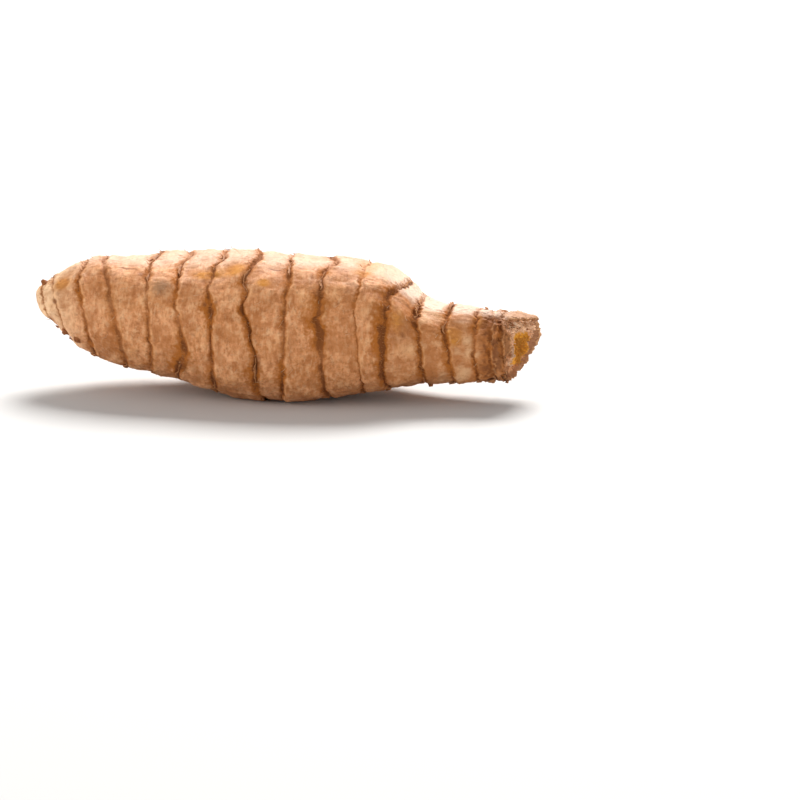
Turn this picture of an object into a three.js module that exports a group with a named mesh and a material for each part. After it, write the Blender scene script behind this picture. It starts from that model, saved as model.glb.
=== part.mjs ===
// A fresh turmeric rhizome: one grown piece, lying on its belly on a flat surface.
//
// Millimetres, +Z up. +X runs along the root, from the blunt growing tip at -X to the broken
// stump at +X, where it was snapped off the mother rhizome. The origin is on the surface it
// lies on, under the middle of its box. Angles go round the root: 0 is the front (-Y),
// 90 degrees the top, 180 the back and 270 the belly.
//
// The skin is a closed sheet of rows. Each row is a loop round the root, and the rows follow the
// ring scars of the fallen scale leaves, so that every groove, lip and swelling between two
// rings falls on a row of its own.

import * as THREE from 'three';

const FULL_TURN = 2 * Math.PI;
const POINTS_ROUND = 56;

// The outline of the body at stations along its length: top and belly seen from the side,
// front and back seen from above, and how square the section is (2 is an ellipse, and more has
// flatter sides). It is fullest left of the middle, runs out to the tip in a long taper, and
// drops over a shoulder at x = 18 to 25 into a thin neck.
const OUTLINE = [
  { x: -45.9, top: 17.7, bottom: 16.2, front: -0.8, back: 0.6, square: 2.0 },
  { x: -44.8, top: 18.8, bottom: 13.7, front: -2.7, back: 2.3, square: 2.0 },
  { x: -43.1, top: 20.1, bottom: 12.2, front: -4.2, back: 3.9, square: 2.0 },
  { x: -39.8, top: 22.0, bottom: 9.7, front: -6.2, back: 6.0, square: 2.1 },
  { x: -35.8, top: 23.7, bottom: 7.3, front: -8.2, back: 8.2, square: 2.2 },
  { x: -29.8, top: 24.4, bottom: 5.1, front: -10.0, back: 10.2, square: 2.3 },
  { x: -21.8, top: 24.6, bottom: 3.6, front: -11.5, back: 11.9, square: 2.4 },
  { x: -12.8, top: 24.9, bottom: 1.4, front: -12.8, back: 12.9, square: 2.5 },
  { x: -5.8, top: 25.5, bottom: -0.5, front: -13.3, back: 12.9, square: 2.5 },
  { x: 2.2, top: 25.2, bottom: -0.4, front: -13.0, back: 12.2, square: 2.6 },
  { x: 10.7, top: 25.0, bottom: 0.8, front: -12.3, back: 12.0, square: 2.6 },
  { x: 17.5, top: 23.8, bottom: 1.9, front: -11.2, back: 12.1, square: 2.6 },
  { x: 21.7, top: 21.3, bottom: 2.6, front: -9.8, back: 10.8, square: 2.5 },
  { x: 25.1, top: 18.5, bottom: 3.0, front: -8.4, back: 8.6, square: 2.4 },
  { x: 30.2, top: 17.2, bottom: 3.6, front: -7.4, back: 7.0, square: 2.3 },
  { x: 37.7, top: 16.7, bottom: 4.3, front: -6.5, back: 6.1, square: 2.2 },
  { x: 47.2, top: 15.2, bottom: 5.1, front: -6.0, back: 5.9, square: 2.2 },
];

// The ring scars, from the tip to the stump. x is where a ring crosses the flanks, lean moves
// its top towards the stump, and bow moves its front. Each kink pulls the ring along by reach
// round one angle, over a spread in degrees. step is how far the skin on its stump side stands
// proud (on its tip side if below 0), and groove is how deep the scar is.
const RINGS = [
  { x: -42.2, lean: -1.5, bow: -1.4, step: 0.15, groove: 0.35, kinks: [] },
  { x: -40.6, lean: -2.2, bow: 0.2, step: 0.15, groove: 0.3, kinks: [] },
  { x: -35.1, lean: -1.1, bow: 0.3, step: 0.25, groove: 0.4, kinks: [[40, -0.7, 20]] },
  { x: -30.3, lean: -2.1, bow: 1.5, step: 0.2, groove: 0.4, kinks: [[65, -0.4, 20]] },
  { x: -23.4, lean: -0.3, bow: 1.1, step: 0.4, groove: 0.35, kinks: [[-48, -0.7, 18]] },
  { x: -18.5, lean: 0.3, bow: 0.9, step: 0.2, groove: 0.5, kinks: [[-12, 2.3, 20], [88, 1, 10]] },
  { x: -11.3, lean: 0.2, bow: 0.4, step: 0.3, groove: 0.45, kinks: [[38, -0.7, 12], [80, 1, 8]] },
  {
    x: -3.9,
    lean: -1.2,
    bow: 0.0,
    step: -0.2,
    groove: 0.5,
    kinks: [[47, -0.9, 8], [22, -1.1, 8], [-12, 1.1, 16], [80, 1.2, 12]],
  },
  { x: 1.5, lean: 0.6, bow: 0.6, step: 0.35, groove: 0.45, kinks: [[44, 0.4, 6]] },
  { x: 8.6, lean: -0.3, bow: 0.2, step: 0.15, groove: 0.5, kinks: [[82, 1.5, 12], [14, -0.8, 5]] },
  { x: 15.2, lean: 0.0, bow: -0.2, step: 0.05, groove: 0.35, kinks: [[24, -0.5, 8]] },
  { x: 19.7, lean: 0.0, bow: -0.3, step: -0.25, groove: 0.6, kinks: [[105, 3.2, 40]] },
  { x: 25.6, lean: -0.5, bow: 0.0, step: 0.1, groove: 0.45, kinks: [[34, -0.6, 14]] },
  { x: 30.8, lean: -0.6, bow: -0.2, step: 0.15, groove: 0.45, kinks: [[28, -0.5, 16]] },
  { x: 35.7, lean: -0.2, bow: -0.5, step: 0.1, groove: 0.4, kinks: [] },
  { x: 38.0, lean: -0.2, bow: -0.1, step: 0.05, groove: 0.3, kinks: [] },
  { x: 39.9, lean: -0.5, bow: 0.2, step: -0.15, groove: 0.35, kinks: [[60, -0.4, 10]] },
];

// The first loop behind the tip's apex, and the rim of the slanting break at the other end.
const NOSE = { x: -45.0, lean: -0.3, bow: -0.1, step: 0, groove: 0, kinks: [] };
const APEX = new THREE.Vector3(-45.9, -0.1, 17.2);
const BREAK = {
  x: 43.0,
  lean: 1.7,
  bow: -2.1,
  step: 0,
  groove: 0,
  kinks: [[60, -3, 26], [150, -0.9, 16], [195, 0.9, 22], [228, 0.7, 20]],
};

// No ring is a clean circle: it wanders by these amounts, in so many waves round the root, and
// more on the side away from the front.
const WANDER = [
  { waves: 2, reach: 0.5 },
  { waves: 3, reach: 0.35 },
  { waves: 5, reach: 0.25 },
  { waves: 9, reach: 0.12 },
];
const FRONT_CALM = 0.25;
const FRONT_ANGLE = THREE.MathUtils.degToRad(20);

// The skin between two rings: the width of a scar, the swelling of the part between, and how
// fast a step fades.
const GROOVE_WIDTH = 0.55;
const SWELLING = 0.16;
const STEP_FADE = 2.4;
// Long hollows and ridges along the flanks.
const LUMPS = [
  { waves: 2, pitch: 61, reach: 0.2 },
  { waves: 3, pitch: 38, reach: 0.18 },
  { waves: 5, pitch: 23, reach: 0.12 },
];

// Single features: two dents where the skin sank, and the eyes of three sleeping side buds.
const FEATURES = [
  { x: -0.4, angle: 66, radius: 1.9, height: -0.6 },
  { x: -27.6, angle: 61, radius: 1.7, height: -0.45 },
  { x: 9.2, angle: 172, radius: 2.6, height: 1.5 },
  { x: -16.6, angle: 212, radius: 2.2, height: 1.1 },
  { x: 21.6, angle: 318, radius: 2.0, height: 0.9 },
];

// The break, from its rim inwards: a curled edge of bark, a trough where the rind tore away,
// and a stub of fibrous core. r is a share of the way out from the core's centre.
const FACE = [
  { r: 0.93, height: 0.12 },
  { r: 0.83, height: -0.6 },
  { r: 0.68, height: -0.9 },
  { r: 0.52, height: -0.1 },
  { r: 0.38, height: 0.55 },
  { r: 0.18, height: 0.45 },
];
const CORE_SHIFT = new THREE.Vector3(0, -1.7, 0.0);
const CORE_HEIGHT = 0.3;
const FACE_RAGGED = 0.22;

// Where the rows between two rings lie, as shares of the way. Close rings have fewer.
const ROWS_BETWEEN = [0, 0.09, 0.22, 0.5, 0.78, 0.91];
const ROWS_BETWEEN_CLOSE = [0, 0.25, 0.6];
const CLOSE = 3;

// A smooth curve through the stations of OUTLINE that never overshoots them.
function outlineCurve(side) {
  const gap = (k) => OUTLINE[k + 1].x - OUTLINE[k].x;
  const slope = (k) => (OUTLINE[k + 1][side] - OUTLINE[k][side]) / gap(k);
  const last = OUTLINE.length - 1;
  const tangents = OUTLINE.map((station, k) => {
    if (k === 0) return slope(0);
    if (k === last) return slope(last - 1);
    if (slope(k - 1) * slope(k) <= 0) return 0;
    const before = 2 * gap(k) + gap(k - 1);
    const after = gap(k) + 2 * gap(k - 1);
    return (before + after) / (before / slope(k - 1) + after / slope(k));
  });
  return (x) => {
    let k = 0;
    while (k < last - 1 && x > OUTLINE[k + 1].x) k += 1;
    const t = THREE.MathUtils.clamp((x - OUTLINE[k].x) / gap(k), 0, 1);
    const rise = t * t * (3 - 2 * t);
    const bend = t * (1 - t) * gap(k);
    return (
      THREE.MathUtils.lerp(OUTLINE[k][side], OUTLINE[k + 1][side], rise) +
      bend * ((1 - t) * tangents[k] - t * tangents[k + 1])
    );
  };
}
const outline = {
  top: outlineCurve('top'),
  bottom: outlineCurve('bottom'),
  front: outlineCurve('front'),
  back: outlineCurve('back'),
  square: outlineCurve('square'),
};

// A seeded draw from 0 to 1, the same on every run.
function draw(seed, turn) {
  const mixed = Math.sin(seed * 12.9898 + turn * 78.233) * 43758.5453;
  return mixed - Math.floor(mixed);
}

// The turn from one angle to another, the short way round.
function turnFrom(angle, other) {
  return Math.atan2(Math.sin(angle - other), Math.cos(angle - other));
}

function ringX(ring, angle) {
  const kinks = ring.kinks.reduce((sum, [centre, reach, spread]) => {
    const away = turnFrom(angle, THREE.MathUtils.degToRad(centre));
    return sum + reach * Math.exp(-((THREE.MathUtils.radToDeg(away) / spread) ** 2));
  }, 0);
  const away = (1 - Math.cos(angle - FRONT_ANGLE)) / 2;
  const wander = WANDER.reduce((sum, { waves, reach }) => {
    return sum + reach * Math.sin(waves * angle + FULL_TURN * draw(ring.x, waves));
  }, 0);
  return (
    ring.x +
    ring.lean * Math.sin(angle) +
    ring.bow * Math.cos(angle) +
    kinks +
    wander * THREE.MathUtils.lerp(FRONT_CALM, 1, away)
  );
}

// Rounds a sine or cosine towards a square corner.
function squared(value, square) {
  return Math.sign(value) * Math.abs(value) ** (2 / square);
}

// How far single features raise or sink the skin at x, angle on a body of that radius.
function featureRelief(x, angle, radius) {
  return FEATURES.reduce((sum, feature) => {
    const around = radius * turnFrom(angle, THREE.MathUtils.degToRad(feature.angle));
    const away = Math.hypot(x - feature.x, around) / feature.radius;
    return sum + feature.height * Math.exp(-away * away);
  }, 0);
}

function lumpRelief(x, angle) {
  return LUMPS.reduce((sum, { waves, pitch, reach }) => {
    return sum + reach * Math.sin(waves * angle + FULL_TURN * (x / pitch + draw(pitch, waves)));
  }, 0);
}

// How far a ring's scar moves the skin at a distance d from it, on its stump side if after.
function ringRelief(ring, d, after) {
  const groove = -ring.groove * Math.exp(-((d / GROOVE_WIDTH) ** 2));
  const proud = after ? Math.max(0, ring.step) : Math.max(0, -ring.step);
  return groove + proud * Math.exp(-d / STEP_FADE);
}

// A point of the skin: share of the way from the ring before it to the ring after it.
function skinPoint(before, after, share, angle) {
  const start = ringX(before, angle);
  const length = ringX(after, angle) - start;
  const x = start + length * share;
  const middle = new THREE.Vector3(
    x,
    (outline.front(x) + outline.back(x)) / 2,
    (outline.top(x) + outline.bottom(x)) / 2,
  );
  const out = new THREE.Vector3(
    0,
    ((outline.front(x) - outline.back(x)) / 2) * squared(Math.cos(angle), outline.square(x)),
    ((outline.top(x) - outline.bottom(x)) / 2) * squared(Math.sin(angle), outline.square(x)),
  );
  const radius = out.length();
  const relief =
    ringRelief(before, length * share, true) +
    ringRelief(after, length * (1 - share), false) +
    SWELLING * Math.sin(Math.PI * share) * Math.min(1, length / 5) +
    lumpRelief(x, angle) +
    featureRelief(x, angle, radius);
  const point = middle.addScaledVector(out, 1 + (relief * Math.min(1, radius / 6)) / radius);
  point.z = Math.max(0, point.z); // the belly is flat where it lies
  return point;
}

// The rows of the skin from the nose to the rim of the break, each a function of the angle.
function skinRows() {
  const marks = [NOSE, ...RINGS, BREAK];
  const rows = [];
  for (let k = 0; k + 1 < marks.length; k += 1) {
    const [before, after] = [marks[k], marks[k + 1]];
    const shares = after.x - before.x < CLOSE ? ROWS_BETWEEN_CLOSE : ROWS_BETWEEN;
    for (const share of shares) rows.push((angle) => skinPoint(before, after, share, angle));
  }
  const lastRing = RINGS[RINGS.length - 1];
  rows.push((angle) => skinPoint(lastRing, BREAK, 1, angle));
  return rows;
}

// The rows of the break, from inside its rim to the point at the middle of the core.
function faceRows(rim) {
  const loop = Array.from({ length: POINTS_ROUND }, (_, k) => rim((FULL_TURN * k) / POINTS_ROUND));
  const middle = new THREE.Vector3();
  const normal = new THREE.Vector3();
  loop.forEach((point) => middle.addScaledVector(point, 1 / loop.length));
  loop.forEach((point, k) => {
    const spoke = point.clone().sub(middle);
    const next = loop[(k + 1) % loop.length].clone().sub(middle);
    normal.add(next.cross(spoke));
  });
  normal.normalize();
  const core = middle.clone().add(CORE_SHIFT);
  core.addScaledVector(normal, -CORE_SHIFT.dot(normal));
  const rows = FACE.map(({ r, height }) => (angle) => {
    const ragged = FACE_RAGGED * Math.sin(3 * angle + 9 * r) + FACE_RAGGED * Math.sin(5 * angle - 7 * r);
    return core
      .clone()
      .lerp(rim(angle), r)
      .addScaledVector(normal, height + ragged * Math.sin(Math.PI * r));
  });
  rows.push(() => core.clone().addScaledVector(normal, CORE_HEIGHT));
  return rows;
}

// A sphere's rows of points, moved onto the root's rows, give the closed skin.
function rootGeometry() {
  const skin = skinRows();
  const rows = [() => APEX.clone(), ...skin, ...faceRows(skin[skin.length - 1])];
  const geometry = new THREE.SphereGeometry(1, POINTS_ROUND, rows.length - 1);
  const position = geometry.getAttribute('position');
  rows.forEach((row, r) => {
    for (let k = 0; k <= POINTS_ROUND; k += 1) {
      const point = row((FULL_TURN * (k % POINTS_ROUND)) / POINTS_ROUND);
      position.setXYZ(r * (POINTS_ROUND + 1) + k, point.x, point.y, point.z);
    }
  });
  geometry.computeVertexNormals();
  return geometry;
}

const skinMaterial = new THREE.MeshStandardMaterial({
  color: 0xc4906a,
  roughness: 0.75,
  metalness: 0,
});

const root = new THREE.Mesh(rootGeometry(), skinMaterial);
root.name = 'turmeric_root';

const part = new THREE.Group();
part.add(root);

export default part;
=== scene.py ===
# %% [markdown]
# # A fresh turmeric root
#
# The object is one whole turmeric rhizome lying on its belly: a plump, ringed body with a blunt
# growing tip on the left, a shoulder, and a thin neck that ends in a torn stump on the right.
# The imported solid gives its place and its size. This lesson puts a finer skin over that solid:
# the same rings, with the wrinkles, scars, fringes and colours of a real root.

# %% Load the solid
import math

import bmesh
import bpy
import numpy as np
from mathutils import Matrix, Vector


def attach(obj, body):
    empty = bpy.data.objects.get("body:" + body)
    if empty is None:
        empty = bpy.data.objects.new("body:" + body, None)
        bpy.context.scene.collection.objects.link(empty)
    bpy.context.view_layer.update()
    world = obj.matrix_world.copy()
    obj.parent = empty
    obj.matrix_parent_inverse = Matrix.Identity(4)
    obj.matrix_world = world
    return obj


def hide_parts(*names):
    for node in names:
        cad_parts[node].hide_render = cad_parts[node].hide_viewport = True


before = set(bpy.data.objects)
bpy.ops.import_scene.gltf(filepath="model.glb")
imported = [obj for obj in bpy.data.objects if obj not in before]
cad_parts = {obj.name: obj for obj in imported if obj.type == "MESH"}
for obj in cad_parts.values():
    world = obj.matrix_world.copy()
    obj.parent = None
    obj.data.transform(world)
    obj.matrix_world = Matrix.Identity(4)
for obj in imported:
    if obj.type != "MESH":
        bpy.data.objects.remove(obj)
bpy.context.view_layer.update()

MM = 0.001

# %% [markdown]
# ## Where the viewer stands
#
# The root is seen from a little above and from a little towards its stump, from far enough that
# it hardly tapers. A long lens does that. The camera looks at a point to the right of the root
# and below it, so that the root sits in the upper left of a square picture.

# %% Camera
SIGHT_AZIMUTH = math.radians(8.5)
SIGHT_ELEVATION = math.radians(15)
SIGHT_DISTANCE = 500 * MM
LENS_MM = 125
SENSOR_MM = 36
CLIP_FROM = 0.01
ROOT_MIDDLE = Vector((0.7, 0, 13.2)) * MM
AIM_RIGHT = 20.0 * MM
AIM_DOWN = 14.0 * MM


def make_camera():
    sight = Vector((
        math.sin(SIGHT_AZIMUTH) * math.cos(SIGHT_ELEVATION),
        -math.cos(SIGHT_AZIMUTH) * math.cos(SIGHT_ELEVATION),
        math.sin(SIGHT_ELEVATION),
    ))
    right = Vector((math.cos(SIGHT_AZIMUTH), math.sin(SIGHT_AZIMUTH), 0))
    up = sight.cross(right)
    aim = ROOT_MIDDLE + right * AIM_RIGHT - up * AIM_DOWN
    camera = bpy.data.objects.new("camera", bpy.data.cameras.new("camera"))
    bpy.context.scene.collection.objects.link(camera)
    camera.data.lens = LENS_MM
    camera.data.sensor_width = SENSOR_MM
    camera.data.clip_start = CLIP_FROM
    camera.location = aim + sight * SIGHT_DISTANCE
    camera.rotation_mode = "QUATERNION"
    camera.rotation_quaternion = (-sight).to_track_quat("-Z", "Y")
    bpy.context.scene.camera = camera
    return camera


camera = make_camera()
print("camera at, m:", [round(v, 3) for v in camera.location])

# %% [markdown]
# ## Light
#
# The root is lit as a product is: one wide soft light above and behind it, which burns out the
# upper edge of the skin and lets the rings run dark, a weaker one to the left in front, and a
# small one on the right for the torn end. A white surround fills the shadows. The plain
# "Standard" view keeps whites white.

# %% Lamps, surround and view
# name, place in m, size in m, power in W, tint
LAMPS = [
    ("top_light", (0.10, 0.60, 0.86), 0.5, 18.0, (1.0, 0.985, 0.96)),
    ("front_light", (-1.05, -0.60, 0.50), 0.8, 6.6, (1.0, 0.96, 0.91)),
    ("side_light", (0.90, -0.55, 0.35), 0.6, 2.0, (1.0, 0.96, 0.91)),
]
SURROUND_STRENGTH = 0.42


def add_lamp(name, place, size, power, tint):
    """A square soft light, turned to the root's middle."""
    lamp = bpy.data.lights.new(name, "AREA")
    lamp.size = size
    lamp.energy = power
    lamp.color = tint
    holder = bpy.data.objects.new(name, lamp)
    bpy.context.scene.collection.objects.link(holder)
    holder.location = place
    holder.rotation_mode = "QUATERNION"
    holder.rotation_quaternion = (ROOT_MIDDLE - Vector(place)).to_track_quat("-Z", "Y")


for lamp_row in LAMPS:
    add_lamp(*lamp_row)

surround = bpy.data.worlds.new("surround")
surround.use_nodes = True
sky = surround.node_tree.nodes["Background"].inputs
sky["Color"].default_value = (1, 1, 1, 1)
sky["Strength"].default_value = SURROUND_STRENGTH
bpy.context.scene.world = surround
bpy.context.scene.view_settings.view_transform = "Standard"
print("lamps:", [row[0] for row in LAMPS])

# %% [markdown]
# ## Floor
#
# A plain pale floor, large enough to fill the picture. It takes the root's soft shadow, and it
# isn't part of the object.

# %% Floor
FLOOR_HALF = 3.0
FLOOR_GREY = (0.62, 0.62, 0.62, 1)
FLOOR_ROUGHNESS = 0.8


def make_floor():
    corners = [(-FLOOR_HALF, -FLOOR_HALF), (FLOOR_HALF, -FLOOR_HALF), (FLOOR_HALF, FLOOR_HALF),
               (-FLOOR_HALF, FLOOR_HALF)]
    sheet = bpy.data.meshes.new("floor")
    sheet.from_pydata([(x, y, 0) for x, y in corners], [], [(0, 1, 2, 3)])
    floor = bpy.data.objects.new("floor", sheet)
    bpy.context.scene.collection.objects.link(floor)
    paint = bpy.data.materials.new("floor_paint")
    paint.use_nodes = True
    shader = paint.node_tree.nodes["Principled BSDF"]
    shader.inputs["Base Color"].default_value = FLOOR_GREY
    shader.inputs["Roughness"].default_value = FLOOR_ROUGHNESS
    sheet.materials.append(paint)


make_floor()
print("floor, m across:", 2 * FLOOR_HALF)

# %% [markdown]
# ## The body's outline
#
# A rhizome is a swollen stem. Its body is described by four outlines along its length: its top
# and belly seen from the side, and its front and back seen from above. Between them each
# cross-section is a superellipse, an ellipse with squarer shoulders. A curve that never
# overshoots its stations joins them, so no bump appears that wasn't asked for. The numbers are
# those of the solid, in millimetres.

# %% Outline
# x, top, bottom, front, back, squareness
OUTLINE = np.array([
    (-45.9, 17.7, 16.2, -0.8, 0.6, 2.0),
    (-44.8, 18.8, 13.7, -2.7, 2.3, 2.0),
    (-43.1, 20.1, 12.2, -4.2, 3.9, 2.0),
    (-39.8, 22.0, 9.7, -6.2, 6.0, 2.1),
    (-35.8, 23.7, 7.3, -8.2, 8.2, 2.2),
    (-29.8, 24.4, 5.1, -10.0, 10.2, 2.3),
    (-21.8, 24.6, 3.6, -11.5, 11.9, 2.4),
    (-12.8, 24.9, 1.4, -12.8, 12.9, 2.5),
    (-5.8, 25.5, -0.5, -13.3, 12.9, 2.5),
    (2.2, 25.2, -0.4, -13.0, 12.2, 2.6),
    (10.7, 25.0, 0.8, -12.3, 12.0, 2.6),
    (17.5, 23.8, 1.9, -11.2, 12.1, 2.6),
    (21.7, 21.3, 2.6, -9.8, 10.8, 2.5),
    (25.1, 18.5, 3.0, -8.4, 8.6, 2.4),
    (30.2, 17.2, 3.6, -7.4, 7.0, 2.3),
    (37.7, 16.7, 4.3, -6.5, 6.1, 2.2),
    (47.2, 15.2, 5.1, -6.0, 5.9, 2.2),
])


def smooth_through(stations, values):
    """A curve through the values that never overshoots them, as a function of the station."""
    gaps = np.diff(stations)
    slopes = np.diff(values) / gaps
    before = 2 * gaps[1:] + gaps[:-1]
    after = gaps[1:] + 2 * gaps[:-1]
    safe = np.where(slopes == 0, 1, slopes)
    mean = (before + after) / (before / safe[:-1] + after / safe[1:])
    same_way = slopes[:-1] * slopes[1:] > 0
    tangents = np.concatenate([[slopes[0]], np.where(same_way, mean, 0), [slopes[-1]]])

    def curve(x):
        k = np.clip(np.searchsorted(stations, x) - 1, 0, len(gaps) - 1)
        t = np.clip((x - stations[k]) / gaps[k], 0, 1)
        rise = t * t * (3 - 2 * t)
        bend = t * (1 - t) * gaps[k]
        straight = values[k] + (values[k + 1] - values[k]) * rise
        return straight + bend * ((1 - t) * tangents[k] - t * tangents[k + 1])

    return curve


top, bottom, front, back, square = [smooth_through(OUTLINE[:, 0], OUTLINE[:, k])
                                    for k in range(1, 6)]


def cross_section(x, angle):
    """The middle of the section at x, and the arm from it to the skin at that angle, in mm."""
    corner = 2 / square(x)
    cosine, sine = np.cos(angle), np.sin(angle)
    middle = np.stack([x, (front(x) + back(x)) / 2, (top(x) + bottom(x)) / 2], -1)
    arm = np.stack([
        np.zeros_like(x),
        (front(x) - back(x)) / 2 * np.sign(cosine) * np.abs(cosine) ** corner,
        (top(x) - bottom(x)) / 2 * np.sign(sine) * np.abs(sine) ** corner,
    ], -1)
    return middle, arm


print("widest, mm:", round(float(np.max(OUTLINE[:, 4] - OUTLINE[:, 3])), 1))

# %% [markdown]
# ## The ring scars
#
# Each ring is the scar of a fallen scale leaf. It runs right round the root, leaning and bowing,
# with kinks where the leaf tore, and the skin on one side of it stands proud. Real rings are
# never parallel, so each has its own numbers, and a seeded wander on top of them that is larger
# at the back. "dark" and "line" are for the paint: how brown the scar is, and how wide.

# %% Rings
# x, lean, bow, step, groove, dark, line, kinks (angle, reach, spread)
RINGS = [
    (-42.2, -1.5, -1.4, 0.15, 0.35, 0.60, 0.35, []),
    (-40.6, -2.2, 0.2, 0.15, 0.30, 0.45, 0.30, []),
    (-35.1, -1.1, 0.3, 0.25, 0.40, 0.75, 0.55, [(40, -0.7, 20)]),
    (-30.3, -2.1, 1.5, 0.20, 0.40, 0.60, 0.80, [(65, -0.4, 20)]),
    (-23.4, -0.3, 1.1, 0.40, 0.35, 0.60, 0.65, [(-48, -0.7, 18)]),
    (-18.5, 0.3, 0.9, 0.20, 0.50, 0.80, 0.80, [(-12, 2.3, 20), (88, 1.0, 10)]),
    (-11.3, 0.2, 0.4, 0.30, 0.45, 0.80, 0.55, [(38, -0.7, 12), (80, 1.0, 8)]),
    (-3.9, -1.2, 0.0, -0.20, 0.50, 0.85, 0.55,
     [(47, -0.9, 8), (22, -1.1, 8), (-12, 1.1, 16), (80, 1.2, 12)]),
    (1.5, 0.6, 0.6, 0.35, 0.45, 0.75, 0.50, [(44, 0.4, 6)]),
    (8.6, -0.3, 0.2, 0.15, 0.50, 0.75, 0.95, [(82, 1.5, 12), (14, -0.8, 5)]),
    (15.2, 0.0, -0.2, 0.05, 0.35, 0.65, 0.28, [(24, -0.5, 8)]),
    (19.7, 0.0, -0.3, -0.25, 0.60, 0.90, 0.95, [(105, 3.2, 40)]),
    (25.6, -0.5, 0.0, 0.10, 0.45, 0.80, 0.70, [(34, -0.6, 14)]),
    (30.8, -0.6, -0.2, 0.15, 0.45, 0.80, 0.70, [(28, -0.5, 16)]),
    (35.7, -0.2, -0.5, 0.10, 0.40, 0.65, 0.50, []),
    (38.0, -0.2, -0.1, 0.05, 0.30, 0.45, 0.40, []),
    (39.9, -0.5, 0.2, -0.15, 0.35, 0.55, 0.45, [(60, -0.4, 10)]),
]
# where a scar flares: ring number, angle, spread in degrees, wider by in mm, darker by
FLARES = [
    (2, 30, 16, 0.2, 0.1), (2, -30, 12, 0.15, 0.1), (3, 20, 40, 0.5, -0.1), (3, -40, 10, 0.3, 0.3),
    (4, 95, 14, 0.5, 0.1), (4, 55, 12, 0.4, 0.1), (4, -45, 12, 0.3, 0.2),
    (5, -24, 20, 1.1, 0.35), (5, 28, 20, -0.3, -0.1), (5, 75, 18, 0.6, 0.1),
    (6, 20, 9, 1.1, 0.2), (6, 30, 5, 0.5, 0.2), (6, 72, 18, 0.4, 0.1), (6, -36, 12, 0.7, 0.2),
    (7, 46, 9, 0.8, 0.2), (7, 75, 18, 0.6, 0.0), (7, -26, 14, 1.0, 0.4), (7, 18, 5, 0.4, 0.1),
    (8, 60, 20, 0.5, 0.0), (8, 10, 8, 0.4, 0.1), (8, -20, 8, 0.5, 0.2),
    (9, 20, 34, 0.8, -0.05), (9, 66, 10, 0.4, 0.2), (9, 6, 7, 0.4, 0.2),
    (11, 22, 26, 1.0, 0.25), (11, 95, 30, -0.5, -0.35), (12, 40, 22, 0.5, 0.15),
    (12, 100, 24, -0.3, -0.2), (13, 26, 18, 0.5, 0.15), (14, 40, 12, 0.3, 0.1),
]
# the first loop behind the tip's apex, and the rim of the break
NOSE = (-45.0, -0.3, -0.1, 0, 0, 0, 0.3, [])
RIM = (43.0, 1.7, -2.1, 0, 0, 0, 0.5,
       [(60, -3.0, 26), (150, -0.9, 16), (195, 0.9, 22), (228, 0.7, 20)])
APEX = np.array([-45.9, -0.1, 17.2])

# waves round the root, reach in mm: slow ones, and the fine ones of a torn edge
WANDER = [(2, 0.5), (3, 0.35), (5, 0.25), (9, 0.12)]
JAGS = [(15, 0.13), (26, 0.10), (43, 0.08)]
JAG_CALM = 0.55
FRONT_CALM = 0.25
FRONT_ANGLE = math.radians(20)
# numbers that scatter the draws
BY_SEED, BY_TURN, SCATTER = 12.9898, 78.233, 43758.5453


def draw(seed, turn):
    """A number from 0 to 1 that is the same on every run."""
    return (math.sin(seed * BY_SEED + turn * BY_TURN) * SCATTER) % 1


def turn_from(angle, degrees):
    """The turn from an angle in degrees to one in radians, the short way round, in degrees."""
    other = math.radians(degrees)
    return np.degrees(np.arctan2(np.sin(angle - other), np.cos(angle - other)))


def ring_x(ring, angle):
    """Where a ring crosses the body's length at each angle, in mm."""
    x, lean, bow, kinks = ring[0], ring[1], ring[2], ring[-1]
    place = x + lean * np.sin(angle) + bow * np.cos(angle)
    for centre, reach, spread in kinks:
        place = place + reach * np.exp(-(turn_from(angle, centre) / spread) ** 2)
    away = (1 - np.cos(angle - FRONT_ANGLE)) / 2
    wander, jags = [sum(reach * np.sin(waves * angle + math.tau * draw(x, waves))
                        for waves, reach in table) for table in (WANDER, JAGS)]
    tears = JAG_CALM + (1 - JAG_CALM) * np.sin(3 * angle + x) * np.sin(5 * angle - 2 * x)
    return place + wander * (FRONT_CALM + (1 - FRONT_CALM) * away) + jags * tears


print("rings:", len(RINGS), "mean distance, mm:",
      round((RINGS[-1][0] - RINGS[0][0]) / (len(RINGS) - 1), 1))

# %% [markdown]
# ## Relief of the skin
#
# Three kinds of relief sit on the body. At each ring there is a ragged crack with a torn lip on
# its stump side, and a step that fades. Between two rings the skin swells a little. Over all of
# it run long lumps and hollows, two dents, and the eyes of a few sleeping buds.

# %% Relief
GROOVE_WIDTH = 0.5
WIDTH_MIDDLE, WIDTH_UNEVEN = 0.8, 0.35
CRACK_SHARE = 0.6
CRACK_UNEVEN = 0.7
SWELLING = 0.1
BULGE = 0.32
BULGE_SQUARE = 0.7
# waves round the root, which draw, share: how unevenly a segment swells
BULGE_WAVES = [(2, 31, 1.0), (3, 37, 1.0), (7, 41, 0.7)]
STEP_FADE = 2.4
LIP_HEIGHT = 0.10
LIP_PLACE = 0.75
LIP_WIDTH = 0.35
# how many waves make an uneven run, and what brings their sum to about 1
RAGGED_WAVES = (4, 7, 13, 23, 41)
RAGGED_SPAN = 1.6
# relief fades where the body is thinner, or a segment shorter, than this in mm
THIN_RADIUS = 6
SHORT_SEGMENT = 5
# waves round the root, pitch along it in mm, reach in mm
LUMPS = [(2, 61, 0.2), (3, 38, 0.18), (5, 23, 0.12)]
# x, angle, radius, height: two dents where the skin sank, then the eyes of three side buds
FEATURES = [
    (-0.4, 66, 1.9, -0.6),
    (-27.6, 61, 1.7, -0.45),
    (9.2, 172, 2.6, 1.5),
    (-16.6, 212, 2.2, 1.1),
    (21.6, 318, 2.0, 0.9),
]


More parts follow.
